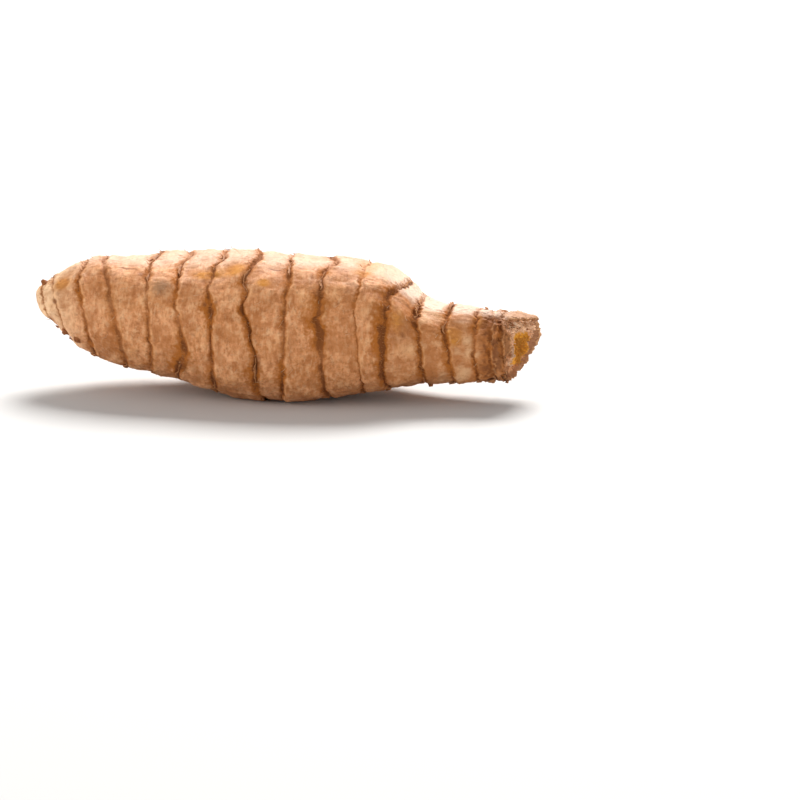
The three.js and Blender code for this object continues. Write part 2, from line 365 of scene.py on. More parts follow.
def ragged(angle, seed):
    """An uneven run of numbers round the root, from about -1 to 1."""
    return sum(np.sin(waves * angle + math.tau * draw(seed, waves)) / (1 + k)
               for k, waves in enumerate(RAGGED_WAVES)) / RAGGED_SPAN


def ring_relief(ring, distance, angle, stump_side):
    """The crack, lip and step of a ring at a distance from it, in mm."""
    x, step, groove = ring[0], ring[3], ring[4]
    uneven = ragged(angle, x)
    width = GROOVE_WIDTH * (WIDTH_MIDDLE + WIDTH_UNEVEN * uneven)
    depth = groove * CRACK_SHARE * (1 + CRACK_UNEVEN * ragged(angle, x + 5))
    crack = -depth * np.exp(-(distance / width) ** 2)
    proud = max(0, step if stump_side else -step)
    lip = LIP_HEIGHT * (1 + uneven) * np.exp(-((distance - LIP_PLACE) / LIP_WIDTH) ** 2)
    has_lip = groove > 0 and proud > 0
    return crack + proud * np.exp(-distance / STEP_FADE) + (lip if has_lip else 0)


def bulge(before, share, angle):
    """How much one segment swells at each angle; no two segments swell alike."""
    seed = before[0]
    uneven = sum(part * np.sin(waves * angle + math.tau * draw(seed, turn))
                 for waves, turn, part in BULGE_WAVES) / 2
    return math.sin(math.pi * share) ** BULGE_SQUARE * (SWELLING + BULGE * uneven)


def lump_relief(x, angle):
    return sum(reach * np.sin(waves * angle + math.tau * (x / pitch + draw(pitch, waves)))
               for waves, pitch, reach in LUMPS)


def spot(x, angle, radius, centre_x, degrees, along, across):
    """1 at a place on the skin, fading to 0 over so many mm along and across the root."""
    sideways = radius * np.radians(turn_from(angle, degrees))
    return np.exp(-((x - centre_x) / along) ** 2 - (sideways / across) ** 2)


def feature_relief(x, angle, radius):
    return sum(height * spot(x, angle, radius, place, degrees, size, size)
               for place, degrees, size, height in FEATURES)


print("deepest crack, mm:", max(ring[4] for ring in RINGS))

# %% [markdown]
# ## A net that follows the rings
#
# The skin is one closed net. Its rows run from ring to ring, and crowd where a crack needs them,
# so a scar is a row of the net, not a picture laid over it. Each point also keeps what the paint
# needs later: how far it is from the nearest scar, and on which side of it.

# %% Net of the skin
COLUMNS = 288
ROW_PITCH = 0.31
ROW_CROWD = 0.45
FEWEST_ROWS = 8
TIP_ROWS = 5
# a share of exactly 1 would ask for a power of a number just below 0
ALMOST_ONE = 0.999999
DARK_UNEVEN = 0.35
THINNEST_LINE = 0.2

angle = np.arange(COLUMNS) * math.tau / COLUMNS
marks = [NOSE, *RINGS, RIM]


def crowded(count):
    """Shares from 0 to just under 1 that lie closer together at both ends."""
    t = np.arange(count) / count
    return t - ROW_CROWD * np.sin(math.tau * t) / math.tau


def flares(ring):
    """How much wider and darker a ring's scar is at each angle than its own numbers."""
    wider, darker = np.zeros(COLUMNS), np.zeros(COLUMNS)
    for number, centre, spread, more_wide, more_dark in FLARES:
        if RINGS[number] is ring:
            near = np.exp(-(turn_from(angle, centre) / spread) ** 2)
            wider += more_wide * near
            darker += more_dark * near
    return wider, darker


def skin_row(before, after, share):
    """One row of the net, a share of the way from one mark to the next."""
    start = ring_x(before, angle)
    length = ring_x(after, angle) - start
    x = start + length * share
    middle, arm = cross_section(x, angle)
    radius = np.linalg.norm(arm, axis=-1)
    relief = (ring_relief(before, length * share, angle, True)
              + ring_relief(after, length * (1 - share), angle, False)
              + bulge(before, min(share, ALMOST_ONE), angle)
              * np.minimum(1, length / SHORT_SEGMENT)
              + lump_relief(x, angle) + feature_relief(x, angle, radius))
    grown = 1 + relief * np.minimum(1, radius / THIN_RADIUS) / radius
    nearest = before if share < 0.5 else after
    wider, darker = flares(nearest)
    unevenly = 1 + DARK_UNEVEN * ragged(angle, nearest[0] + 11)
    return {
        "point": middle + arm * grown[:, None],
        "x": x,
        "angle": angle,
        "radius": radius,
        "scar": length * min(share, 1 - share),
        "side": np.full(COLUMNS, 0.0 if share == 0 else 1.0 if share < 0.5 else -1.0),
        "dark": nearest[5] * unevenly + darker,
        "line": np.maximum(nearest[6] + wider, THINNEST_LINE),
    }


def skin_rows():
    rows = []
    for before, after in zip(marks, marks[1:]):
        count = max(FEWEST_ROWS, round((after[0] - before[0]) / ROW_PITCH))
        rows += [skin_row(before, after, share) for share in crowded(count)]
    rows.append(skin_row(marks[-2], RIM, 1.0))
    return rows


rows = skin_rows()
print("rows of skin:", len(rows), "triangles:", 2 * len(rows) * COLUMNS)

# %% [markdown]
# ## The tip and the torn end
#
# The tip closes in a small round cap. The other end was broken off by hand: a ragged bark rim
# stands up, a trough runs inside it, and in the middle, towards the front, the tougher core is
# left as a low bump. Its rows run inwards from the rim, so the whole net stays closed.

# %% Tip and break
# share of the way from the core to the rim, height over the rim's plane in mm
FACE = np.array([(0.0, 0.0), (0.2, 0.2), (0.38, 0.75), (0.47, 0.3), (0.58, -0.7), (0.68, -0.95),
                 (0.83, -0.6), (0.93, 0.12), (1.0, 0.0)])
FACE_ROWS = 30
# a ledge of torn fibres between core and rim, on the upper side
LEDGE_HEIGHT = 1.7
LEDGE_SHARE = 0.66
LEDGE_ANGLE = 85
LEDGE_SPREAD = 55
LEDGE_WIDTH = 0.14
CORE_SHIFT = np.array([0, -2.1, -0.2])
CORE_OVAL = 0.3
FACE_RAGGED = 0.22
TORN_RAGGED = 0.16
TORN_SHARPNESS = 30
RIM_RAGGED = 0.35
RIM_SEED = 77
RIM_SETBACK = 0.3
# the tip's cap is this far from any scar, in mm
CAP_CLEAR = 1.0

face_height = smooth_through(FACE[:, 0], FACE[:, 1])


def tip_row(nose_row, share):
    """A loop of the round cap between the apex and the first loop of skin."""
    reach = nose_row["point"] - APEX
    row = dict(nose_row)
    row["point"] = APEX + reach * np.array([share ** 2, share, share])
    row["x"] = row["point"][:, 0]
    row["scar"] = nose_row["scar"] + CAP_CLEAR
    return row


def break_plane(rim):
    """The way the break faces, and the foot of the core on the rim's plane."""
    middle = rim.mean(axis=0)
    spokes = rim - middle
    facing = np.cross(np.roll(spokes, -1, axis=0), spokes).sum(axis=0)
    facing /= np.linalg.norm(facing)
    facing *= np.sign(facing[0])
    foot = middle + CORE_SHIFT
    return facing, foot - facing * np.dot(foot - middle, facing)


def break_row(rim_row, facing, foot, share):
    """A loop of the torn face, a share of the way from the core to the rim."""
    uneven = FACE_RAGGED * (np.sin(3 * angle + 9 * share) + np.sin(5 * angle - 7 * share))
    torn = TORN_RAGGED * ragged(angle, 31 + 0.35 * share) * share
    height = face_height(np.full(COLUMNS, share)) + (uneven + torn) * math.sin(math.pi * share)
    ledge = np.exp(-(turn_from(angle, LEDGE_ANGLE) / LEDGE_SPREAD) ** 2)
    height = height + LEDGE_HEIGHT * ledge * math.exp(-((share - LEDGE_SHARE) / LEDGE_WIDTH) ** 2)
    row = dict(rim_row)
    row["point"] = foot + (rim_row["point"] - foot) * share + facing * height[:, None]
    row["torn"] = np.full(COLUMNS, min(1.0, (1 - share) * TORN_SHARPNESS))
    row["core"] = share * (1 + CORE_OVAL * (1 - share) * np.cos(2 * angle))
    row["ledge"] = ledge
    return row


rim_row = rows[-1]
rim_row["point"][:, 0] += RIM_RAGGED * (ragged(angle, RIM_SEED) - RIM_SETBACK)
facing, foot = break_plane(rim_row["point"])
tip_rows = [tip_row(rows[0], share) for share in (np.arange(TIP_ROWS) + 1) / (TIP_ROWS + 1)]
face_shares = 1 - (np.arange(FACE_ROWS) + 1) / (FACE_ROWS + 1)
face_rows = [break_row(rim_row, facing, foot, share) for share in face_shares]
all_rows = tip_rows + rows + face_rows
for row in all_rows:
    row.setdefault("torn", np.zeros(COLUMNS))
    row.setdefault("core", np.ones(COLUMNS))
    row.setdefault("ledge", np.zeros(COLUMNS))
print("break faces:", [round(float(v), 2) for v in facing])

# %% [markdown]
# ## Marks that are this root's own
#
# No two roots wear alike. Places where the skin was rubbed show ochre, a few patches are greyed
# by soil, short brown blots sit beside some scars, and the neck darkens to the break. Each is
# one row of numbers: its place along the root, its angle round it, and its reach both ways. They
# are spread over the points now, and the paint frays their edges with noise. The same points
# also keep where the bark is folded and where the fibres grow.

# %% Places of wear
# x, angle, reach along, reach across, strength; lengths in mm
OCHRE = [
    (-39.8, 41, 1.6, 1.3, 0.8), (-12.5, 56, 2.6, 1.2, 0.8), (-7.3, 61, 2.2, 1.6, 0.8),
    (15.1, 68, 1.6, 1.2, 0.7), (15.4, 88, 2.6, 3.6, 0.35), (21.8, 24, 1.6, 2.6, 0.45),
    (31.2, 24, 1.4, 1.8, 0.8), (36.1, 60, 1.2, 1.6, 0.8), (-1.7, 46, 1.1, 0.9, 1.0),
    (12.0, 150, 3.0, 2.0, 0.8), (-20.0, 200, 2.5, 2.0, 0.7), (28.0, 240, 2.0, 2.0, 0.8),
    (-33.0, 290, 2.0, 1.6, 0.7),
]
GREY = [
    (-20.2, 38, 2.0, 2.3, 1.0), (4.0, 130, 4.0, 2.5, 0.8), (-30.0, 160, 3.0, 2.5, 0.8),
    (14.0, 255, 4.0, 3.0, 0.8), (-8.0, 280, 5.0, 3.0, 0.6),
]
BLOTS = [
    (-0.4, 66, 1.6, 0.35, 1.0), (-27.6, 61, 1.9, 0.45, 0.9), (-41.0, 9, 0.5, 0.5, 1.0),
    (-24.6, 53, 0.8, 0.6, 0.8), (-15.9, -10, 0.8, 1.5, 0.95), (-16.4, -28, 0.9, 1.8, 1.0),
    (-12.1, 24, 0.5, 0.7, 0.8), (-10.0, 26, 0.4, 0.5, 0.7), (-11.1, -36, 0.6, 1.2, 0.8),
    (-5.0, 45, 0.5, 0.8, 0.9), (-2.7, -12, 1.0, 1.8, 0.9), (2.1, 79, 0.5, 0.7, 0.7),
    (2.7, 59, 0.4, 0.5, 0.7), (8.5, 64, 0.5, 0.7, 0.9), (8.2, 12, 0.5, 0.8, 0.9),
    (15.3, 62, 0.35, 0.35, 0.9), (22.7, 11, 0.7, 0.9, 0.8), (23.4, 53, 0.6, 0.4, 0.7),
    (24.8, 47, 0.5, 0.4, 0.7), (23.5, 31, 0.9, 0.35, 0.7), (30.0, 33, 0.5, 0.7, 0.8),
    (34.9, 53, 0.5, 0.5, 0.7), (6.0, 200, 0.8, 1.0, 0.8), (-22.0, 140, 0.9, 1.1, 0.8),
    (26.0, 170, 0.8, 0.9, 0.8), (-6.0, 235, 0.8, 1.4, 0.8),
]
# the skin dries first on top and behind: how wrinkled the front is, and where that starts and ends;
# the paint lays its painted highlight on the top by the same mask
CALM_SHARE = 0.45
DRY_MIDDLE = 115
DRY_FROM = 36
DRY_BY = 80
# where the bark starts along the root, and how soon it is full, in mm
BARK_FROM = 34.5
BARK_OVER = 3
# where fibres grow: near a scar in mm, on the ledge and inside the core as shares of the break
FRINGE_WIDTH = 0.4
TUFT_WIDTH = 0.1
STRANDS_WITHIN = 0.42
STRANDS_SHARPNESS = 8
HAIRLESS_RADIUS = 3


def dryness(row):
    """How drawn the skin is: calm on the front flank and under it, wrinkled on top; the top's
    painted highlight uses it too.
    """
    uneven = 9 * ragged(row["angle"], 3) + 3 * np.sin(row["x"])
    turn = np.abs(turn_from(row["angle"], DRY_MIDDLE) + uneven)
    rise = np.clip((DRY_MIDDLE - DRY_FROM - turn) / (DRY_BY - DRY_FROM), 0, 1)
    return CALM_SHARE + (1 - CALM_SHARE) * rise * rise * (3 - 2 * rise)


def spread(places, row):
    """How strongly a list of places marks each point of a row, from 0 to 1."""
    total = np.zeros(COLUMNS)
    for x, degrees, along, across, strength in places:
        total += strength * spot(row["x"], row["angle"], row["radius"], x, degrees, along, across)
    return np.clip(total, 0, 1)


for row in all_rows:
    skinned = 1 - row["torn"]
    on_ledge = row["ledge"] * np.exp(-((row["core"] - LEDGE_SHARE) / TUFT_WIDTH) ** 2)
    row["ochre"] = spread(OCHRE, row)
    row["grey"] = spread(GREY, row)
    row["blot"] = spread(BLOTS, row)
    row["dry"] = dryness(row)
    row["bark"] = skinned * np.clip((row["x"] - BARK_FROM) / BARK_OVER, 0, 1)
    row["fringe"] = skinned * row["dark"] * np.exp(-(row["scar"] / FRINGE_WIDTH) ** 2)
    inside = np.clip((STRANDS_WITHIN - row["core"]) * STRANDS_SHARPNESS, 0, 1)
    row["strands"] = row["torn"] * inside
    row["tufts"] = row["torn"] * on_ledge
    row["hairs"] = skinned * (row["radius"] > HAIRLESS_RADIUS)
print("marks of wear:", len(OCHRE) + len(GREY) + len(BLOTS))

# %% [markdown]
# ## From rows to a mesh
#
# The rows become a mesh with one pole at the tip and one on the core. What each row keeps is
# stored on the points as attributes, which both Geometry Nodes and the paint can read.

# %% Closed mesh with attributes
KEPT = ["x", "scar", "side", "dark", "line", "torn", "core", "ledge", "ochre", "grey", "blot",
        "dry", "bark", "fringe", "strands", "tufts", "hairs"]


def net_faces(row_count):
    """Quads between the rows, and a fan at each pole; the poles come last."""
    here = np.arange(COLUMNS)
    beside = (here + 1) % COLUMNS
    faces = []
    for row in range(row_count - 1):
        low, high = row * COLUMNS, (row + 1) * COLUMNS
        faces += zip(low + here, high + here, high + beside, low + beside)
    apex, core = row_count * COLUMNS, row_count * COLUMNS + 1
    last = (row_count - 1) * COLUMNS
    faces += zip([apex] * COLUMNS, here, beside)
    faces += zip([core] * COLUMNS, last + beside, last + here)
    return [tuple(int(v) for v in face) for face in faces]


def net_mesh(name, net_rows, core_point):
    points = np.concatenate([row["point"] for row in net_rows] + [[APEX], [core_point]])
    points[:, 2] = np.maximum(points[:, 2], 0)
    mesh = bpy.data.meshes.new(name)
    mesh.from_pydata((points * MM).tolist(), [], net_faces(len(net_rows)))
    for kept in KEPT:
        ends = [net_rows[0][kept][:1], net_rows[-1][kept][:1]]
        values = np.concatenate([row[kept] for row in net_rows] + ends)
        layer = mesh.attributes.new(kept, "FLOAT", "POINT")
        layer.data.foreach_set("value", values.astype(np.float32))
    return mesh


core_point = foot + facing * FACE[0, 1]
base_mesh = net_mesh("base_net", all_rows, core_point)
base_mesh.validate()
print("base net, points:", len(base_mesh.vertices), "faces:", len(base_mesh.polygons))

# %% [markdown]
# ## Short ways to build a node tree
#
# Every tree below is wired by hand. These helpers add a node, set its plain values, and join its
# inputs: a socket is linked, and a number or a vector is set on the input itself.

# %% Node helpers
def add_node(tree, kind, inputs=None, **settings):
    """A node of a kind, with its settings, and with its inputs linked or set."""
    made = tree.nodes.new(kind)
    for name, value in settings.items():
        setattr(made, name, value)
    for name, value in (inputs or {}).items():
        if isinstance(value, bpy.types.NodeSocket):
            tree.links.new(value, made.inputs[name])
        else:
            made.inputs[name].default_value = value
    return made


def maths(tree, operation, first, second=0.0, clamp=False):
    """The result of one sum on two values."""
    made = add_node(tree, "ShaderNodeMath", {0: first, 1: second}, operation=operation,
                    use_clamp=clamp)
    return made.outputs[0]


def times(tree, first, second, clamp=False):
    return maths(tree, "MULTIPLY", first, second, clamp)


def plus(tree, first, second, clamp=False):
    return maths(tree, "ADD", first, second, clamp)


def ramp(tree, value, low, high, to_low=0.0, to_high=1.0):
    """A value stretched from one range to another, and held at its ends."""
    return add_node(tree, "ShaderNodeMapRange",
                    {"Value": value, "From Min": low, "From Max": high, "To Min": to_low,
                     "To Max": to_high}, clamp=True).outputs[0]


def wavering(tree, mask, reach):
    """A mask from 0 to 1 turned into a push both ways, of so much in all."""
    return times(tree, maths(tree, "SUBTRACT", mask, 0.5), reach)


def stored(tree, name):
    """What the net's points keep under a name, inside a geometry tree."""
    return add_node(tree, "GeometryNodeInputNamedAttribute", {"Name": name},
                    data_type="FLOAT").outputs["Attribute"]


def kept_above_floor(tree, geometry):
    """The geometry with each point that lies below the floor lifted onto it."""
    place = add_node(tree, "GeometryNodeInputPosition").outputs[0]
    parts = add_node(tree, "ShaderNodeSeparateXYZ", {0: place}).outputs
    above = add_node(tree, "ShaderNodeCombineXYZ",
                     {"X": parts["X"], "Y": parts["Y"],
                      "Z": maths(tree, "MAXIMUM", parts["Z"], 0.0)})
    return add_node(tree, "GeometryNodeSetPosition",
                    {"Geometry": geometry, "Position": above.outputs[0]}).outputs[0]


def add_sockets(tree, sockets):
    """Name a tree's inputs and outputs: (name, in or out, kind, default)."""
    for name, way, kind, default in sockets:
        socket = tree.interface.new_socket(name, in_out="INPUT" if way == "in" else "OUTPUT",
                                           socket_type="NodeSocket" + kind)
        if default is not None:
            socket.default_value = default
    return add_node(tree, "NodeGroupInput").outputs, add_node(tree, "NodeGroupOutput").inputs


def give_tree(piece, tree, values):
    """Put a geometry tree on a piece, and set its inputs by their identifiers."""
    modifier = piece.modifiers.new(tree.name, "NODES")
    modifier.node_group = tree
    for item in tree.interface.items_tree:
        if item.in_out == "INPUT" and item.name in values:
            modifier[item.identifier] = values[item.name]


def settle(piece, name):
    """The piece as its modifiers make it, as a plain mesh of a new object."""
    graph = bpy.context.evaluated_depsgraph_get()
    mesh = bpy.data.meshes.new_from_object(piece.evaluated_get(graph),
                                           preserve_all_data_layers=True, depsgraph=graph)
    mesh.name = name
    bpy.data.objects.remove(piece)
    settled = bpy.data.objects.new(name, mesh)
    bpy.context.scene.collection.objects.link(settled)
    mesh.calc_loop_triangles()
    print(name, "triangles:", len(mesh.loop_triangles))
    return settled


# %% [markdown]
# ## Fine relief
#
# Fresh turmeric is not smooth: as it loses water, its skin draws into fine wrinkles that run
# along the root, and between them it is grainy. A geometry tree pushes each point out or in
# along its own normal by noise. Noise that is squeezed across the root and long along it gives
# the wrinkles. The push is kept as an attribute, so that the paint can darken the hollows as
# painted shade and lighten the ridges as painted highlight.

# %% Tree of the fine relief
# how high each kind of relief stands, and how wide and long it is, in mm
RELIEF = {
    "wrinkle height": 0.40, "wrinkle width": 0.85, "wrinkle length": 1.9,
    "dimple height": 0.38, "dimple width": 3.4,
    "grain height": 0.08, "grain width": 0.75,
    "bark height": 0.7, "bark fold": 1.3,
    "torn height": 0.45, "torn width": 0.9,
}
RELIEF_SEED = 4.0
# folds of bark run round the root: their noise is squeezed this much less that way
FOLD_SHARE = 0.25
# noise seldom strays far from its middle; this stretches it to the whole height
NOISE_STRETCH = 2.5


def relief_tree():
    tree = bpy.data.node_groups.new("fine_relief", "GeometryNodeTree")
    given, made = add_sockets(tree, [
        ("Geometry", "in", "Geometry", None),
        *[(name, "in", "Float", size * MM) for name, size in RELIEF.items()],
        ("seed", "in", "Float", RELIEF_SEED),
        ("skin", "in", "Material", None),
        ("flesh", "in", "Material", None),
        ("Geometry", "out", "Geometry", None),
    ])
    place = add_node(tree, "GeometryNodeInputPosition").outputs[0]
    torn = stored(tree, "torn")

    def per(size):
        return maths(tree, "DIVIDE", 1.0, given[size])

    def squeezed(along, across):
        """The place, counted in so many folds along the root and across it."""
        by = add_node(tree, "ShaderNodeCombineXYZ", {"X": along, "Y": across, "Z": across})
        return add_node(tree, "ShaderNodeVectorMath", {0: place, 1: by.outputs[0]},
                        operation="MULTIPLY").outputs[0]

    def push(coordinates, scale, height, detail, twist=0.0, creased=False):
        """Noise about 0; creased noise has round backs and sharp valleys between them."""
        noise = add_node(tree, "ShaderNodeTexNoise",
                         {"Vector": coordinates, "W": given["seed"], "Scale": scale,
                          "Detail": detail, "Distortion": twist}, noise_dimensions="4D")
        centred = maths(tree, "SUBTRACT", noise.outputs["Fac"], 0.5)
        if creased:
            folded_up = times(tree, maths(tree, "ABSOLUTE", centred), 2.0)
            round_backed = times(tree, maths(tree, "POWER", folded_up, 0.5), 0.5)
            centred = maths(tree, "SUBTRACT", round_backed, 0.25)
        return times(tree, centred, times(tree, height, NOISE_STRETCH))

    drawn = times(tree, given["wrinkle height"], stored(tree, "dry"))
    barky = times(tree, given["bark height"], stored(tree, "bark"))
    ripped = times(tree, given["torn height"], torn)
    long_folds = squeezed(per("wrinkle length"), per("wrinkle width"))
    wrinkle = push(long_folds, 1.0, drawn, 2.0, twist=0.6, creased=True)
    round_folds = squeezed(per("bark fold"), times(tree, per("bark fold"), FOLD_SHARE))
    bark = push(round_folds, 1.0, barky, 2.0, twist=1.0, creased=True)
    tear = push(place, per("torn width"), ripped, 3.0, twist=0.6)
    dimple = push(place, per("dimple width"), given["dimple height"], 1.0)
    grain = push(place, per("grain width"), given["grain height"], 2.0)
    on_skin = plus(tree, plus(tree, wrinkle, dimple), grain)
    whole = plus(tree, on_skin, plus(tree, bark, tear))
    moved = add_node(tree, "ShaderNodeVectorMath",
                     {0: add_node(tree, "GeometryNodeInputNormal").outputs[0], "Scale": whole},
                     operation="SCALE").outputs[0]
    kept = add_node(tree, "GeometryNodeStoreNamedAttribute",
                    {"Geometry": given["Geometry"], "Name": "relief",
                     "Value": maths(tree, "DIVIDE", whole, MM)}, data_type="FLOAT")
    pushed = add_node(tree, "GeometryNodeSetPosition",
                      {"Geometry": kept.outputs[0], "Offset": moved})
    real = add_node(tree, "GeometryNodeRealizeInstances",
                    {"Geometry": kept_above_floor(tree, pushed.outputs[0])})
    skinned = add_node(tree, "GeometryNodeSetMaterial",
                       {"Geometry": real.outputs[0], "Material": given["skin"]})
    is_torn = maths(tree, "GREATER_THAN", torn, 0.5)
    fleshed = add_node(tree, "GeometryNodeSetMaterial",
                       {"Geometry": skinned.outputs[0], "Selection": is_torn,
                        "Material": given["flesh"]})
    tree.links.new(fleshed.outputs[0], made["Geometry"])
    return tree


fine_relief = relief_tree()
print("tree of the fine relief:", len(fine_relief.nodes), "nodes")

# %% [markdown]
# ## The mottle that all paints share
#
# The skin, the torn flesh, the scale remains and the fibres all show the same thing: broad
# clouds, darker and lighter cells, fine specks and thin streaks. That is one shader group with
# four masks. It measures in millimetres, so the marks keep their real size.

# %% Group: mottle
def mottle_group():
    tree = bpy.data.node_groups.new("mottle", "ShaderNodeTree")
    given, made = add_sockets(tree, [
        ("Place", "in", "Vector", None),
        ("Broad", "in", "Float", 9.0),
        ("Middle", "in", "Float", 1.6),
        ("Fine", "in", "Float", 0.45),
        ("Stretch", "in", "Float", 0.5),
        ("Clouds", "out", "Float", None),
        ("Cells", "out", "Float", None),
        ("Specks", "out", "Float", None),
        ("Streaks", "out", "Float", None),
    ])
    parts = add_node(tree, "ShaderNodeSeparateXYZ", {0: given["Place"]}).outputs
    stretched = add_node(tree, "ShaderNodeCombineXYZ",
                         {"X": times(tree, parts["X"], given["Stretch"]),
                          "Y": parts["Y"], "Z": parts["Z"]}).outputs[0]

    # mask, its pitch, detail, roughness, the noise that gives 0 and 1, seed
    for mask, pitch, detail, rough, low, high, seed in (
        ("Clouds", "Broad", 2.0, 0.5, 0.32, 0.68, 1.3),
        ("Cells", "Middle", 7.0, 0.72, 0.32, 0.68, 5.1),
        ("Specks", "Fine", 3.0, 0.65, 0.56, 0.74, 9.7),
    ):
        noise = add_node(tree, "ShaderNodeTexNoise",
                         {"Vector": stretched, "W": seed, "Detail": detail, "Roughness": rough,
                          "Scale": maths(tree, "DIVIDE", 1.0, given[pitch])},
                         noise_dimensions="4D")
        tree.links.new(ramp(tree, noise.outputs["Fac"], low, high), made[mask])
    thin = add_node(tree, "ShaderNodeVectorMath",
                    {0: stretched, 1: (1.0, 0.4, 0.4)}, operation="MULTIPLY").outputs[0]
    streak = add_node(tree, "ShaderNodeTexNoise",
                      {"Vector": thin, "Scale": maths(tree, "DIVIDE", 1.0, given["Fine"]),
                       "Detail": 2.0, "Roughness": 0.6})
    tree.links.new(ramp(tree, streak.outputs["Fac"], 0.35, 0.65), made["Streaks"])
    return tree


mottle = mottle_group()
print("mottle group:", len(mottle.nodes), "nodes")

# %% [markdown]
# ## The stain of a ring
#
# A ring scar is not a line. It is a frayed brown crack with gaps in it, a wider halo where the
# rot has coloured the skin, and a paler, dry lip on its stump side, whose paleness is partly a
# painted highlight on its raised edge. A second shader group makes these three masks from the
# distance to the scar, which the net's points keep.

# %% Group: ring stain
NARROWEST = 0.08
CRACK_SPREAD = 0.5
HALO_SPREAD = 1.35
LIP_FROM_LINE = 0.35
LIP_SPREAD = 0.35


def stain_group():
    tree = bpy.data.node_groups.new("ring_stain", "ShaderNodeTree")
    given, made = add_sockets(tree, [
        ("Place", "in", "Vector", None),
        ("Distance", "in", "Float", 1.0),
        ("Side", "in", "Float", 0.0),
        ("Darkness", "in", "Float", 0.6),
        ("Width", "in", "Float", 0.4),
        ("Stain", "out", "Float", None),
        ("Halo", "out", "Float", None),
        ("Lip", "out", "Float", None),
    ])

    def wobble(pitch, seed, detail, reach):
        """Noise about 0, of a pitch in mm."""
        noise = add_node(tree, "ShaderNodeTexNoise",
                         {"Vector": given["Place"], "W": seed, "Scale": 1 / pitch,
                          "Detail": detail, "Roughness": 0.65}, noise_dimensions="4D")
        return wavering(tree, noise.outputs["Fac"], reach)

    def bell(distance, width):
        """1 at a distance of 0, fading over a width."""
        share = maths(tree, "DIVIDE", distance, width)
        return maths(tree, "POWER", math.e, times(tree, times(tree, share, share), -1.0))

    def torn(mask, low, high, pitch, seed, reach):
        """A soft mask given a torn edge by noise, then the darkness of its ring."""
        rough = plus(tree, mask, wobble(pitch, seed, 3.0, reach))
        return times(tree, ramp(tree, rough, low, high), given["Darkness"], clamp=True)

    wide = times(tree, given["Width"], plus(tree, 1.0, wobble(1.4, 2.0, 2.0, 3.0)))
    wide = maths(tree, "MAXIMUM", wide, NARROWEST)
    stump_side = maths(tree, "MAXIMUM", given["Side"], 0.0)
    distance = times(tree, given["Distance"], plus(tree, 1.0, times(tree, stump_side, 0.8)))
    frayed = plus(tree, distance, wobble(0.6, 7.0, 3.0, 0.9))
    gaps = plus(tree, 0.85, wobble(2.4, 4.0, 2.0, 3.6))
    crack = times(tree, bell(frayed, times(tree, wide, CRACK_SPREAD)), gaps)
    halo = bell(frayed, times(tree, wide, HALO_SPREAD))
    from_lip = maths(tree, "SUBTRACT", frayed, plus(tree, given["Width"], LIP_FROM_LINE))
    lip_shows = times(tree, stump_side, plus(tree, wobble(2.0, 6.0, 2.0, 4.0), 0.3))
    for name, mask in (
        ("Stain", torn(crack, 0.25, 0.75, pitch=0.35, seed=3.0, reach=0.9)),
        ("Halo", torn(halo, 0.12, 0.95, pitch=0.6, seed=8.0, reach=1.3)),
        ("Lip", times(tree, bell(from_lip, LIP_SPREAD), lip_shows, clamp=True)),
    ):
        tree.links.new(mask, made[name])
    return tree


stain = stain_group()
print("stain group:", len(stain.nodes), "nodes")

# %% [markdown]
# ## Short ways to paint
#
# Every material reads its place in mm and the masks that the net carries, lays colours one over
# another, and ends in one shader.

# %% Painting helpers
def attribute(tree, name):
    return add_node(tree, "ShaderNodeAttribute", attribute_name=name).outputs["Fac"]


def place_in_mm(tree):
    there = add_node(tree, "ShaderNodeTexCoord").outputs["Object"]
    return add_node(tree, "ShaderNodeVectorMath", {0: there, "Scale": 1 / MM},
                    operation="SCALE").outputs[0]


def use_group(tree, group, inputs):
    return add_node(tree, "ShaderNodeGroup", inputs, node_tree=group).outputs


def mottled(tree, broad, middle, fine, stretch):
    """The masks of the mottle, with its pitches in mm."""
    return use_group(tree, mottle, {"Place": place_in_mm(tree), "Broad": broad, "Middle": middle,
                                    "Fine": fine, "Stretch": stretch})


def layer(tree, under, over, mask, share=1.0):
    """A colour laid over another where a mask says so."""
    amount = times(tree, mask, share, clamp=True)
    return add_node(tree, "ShaderNodeMix", {0: amount, 6: under, 7: over},
                    data_type="RGBA").outputs[2]


def lay(tree, colour, layers):
    """Colours laid one over another, the lowest first: (colour, mask, share)."""
    for over, mask, share in layers:
        colour = layer(tree, colour, over, mask, share)
    return colour


def new_paint(name):
    material = bpy.data.materials.new(name)
    material.use_nodes = True
    return material, material.node_tree, material.node_tree.nodes["Principled BSDF"]


def give_paint(tree, shader, colour, rough):
    tree.links.new(colour, shader.inputs["Base Color"])
    tree.links.new(rough, shader.inputs["Roughness"])


def give_bump(tree, shader, height, strength, depth):
    """A bump of a depth in mm."""
    bump = add_node(tree, "ShaderNodeBump", {"Height": height, "Strength": strength,
                                             "Distance": depth * MM})
    tree.links.new(bump.outputs[0], shader.inputs["Normal"])


print("painting helpers ready")
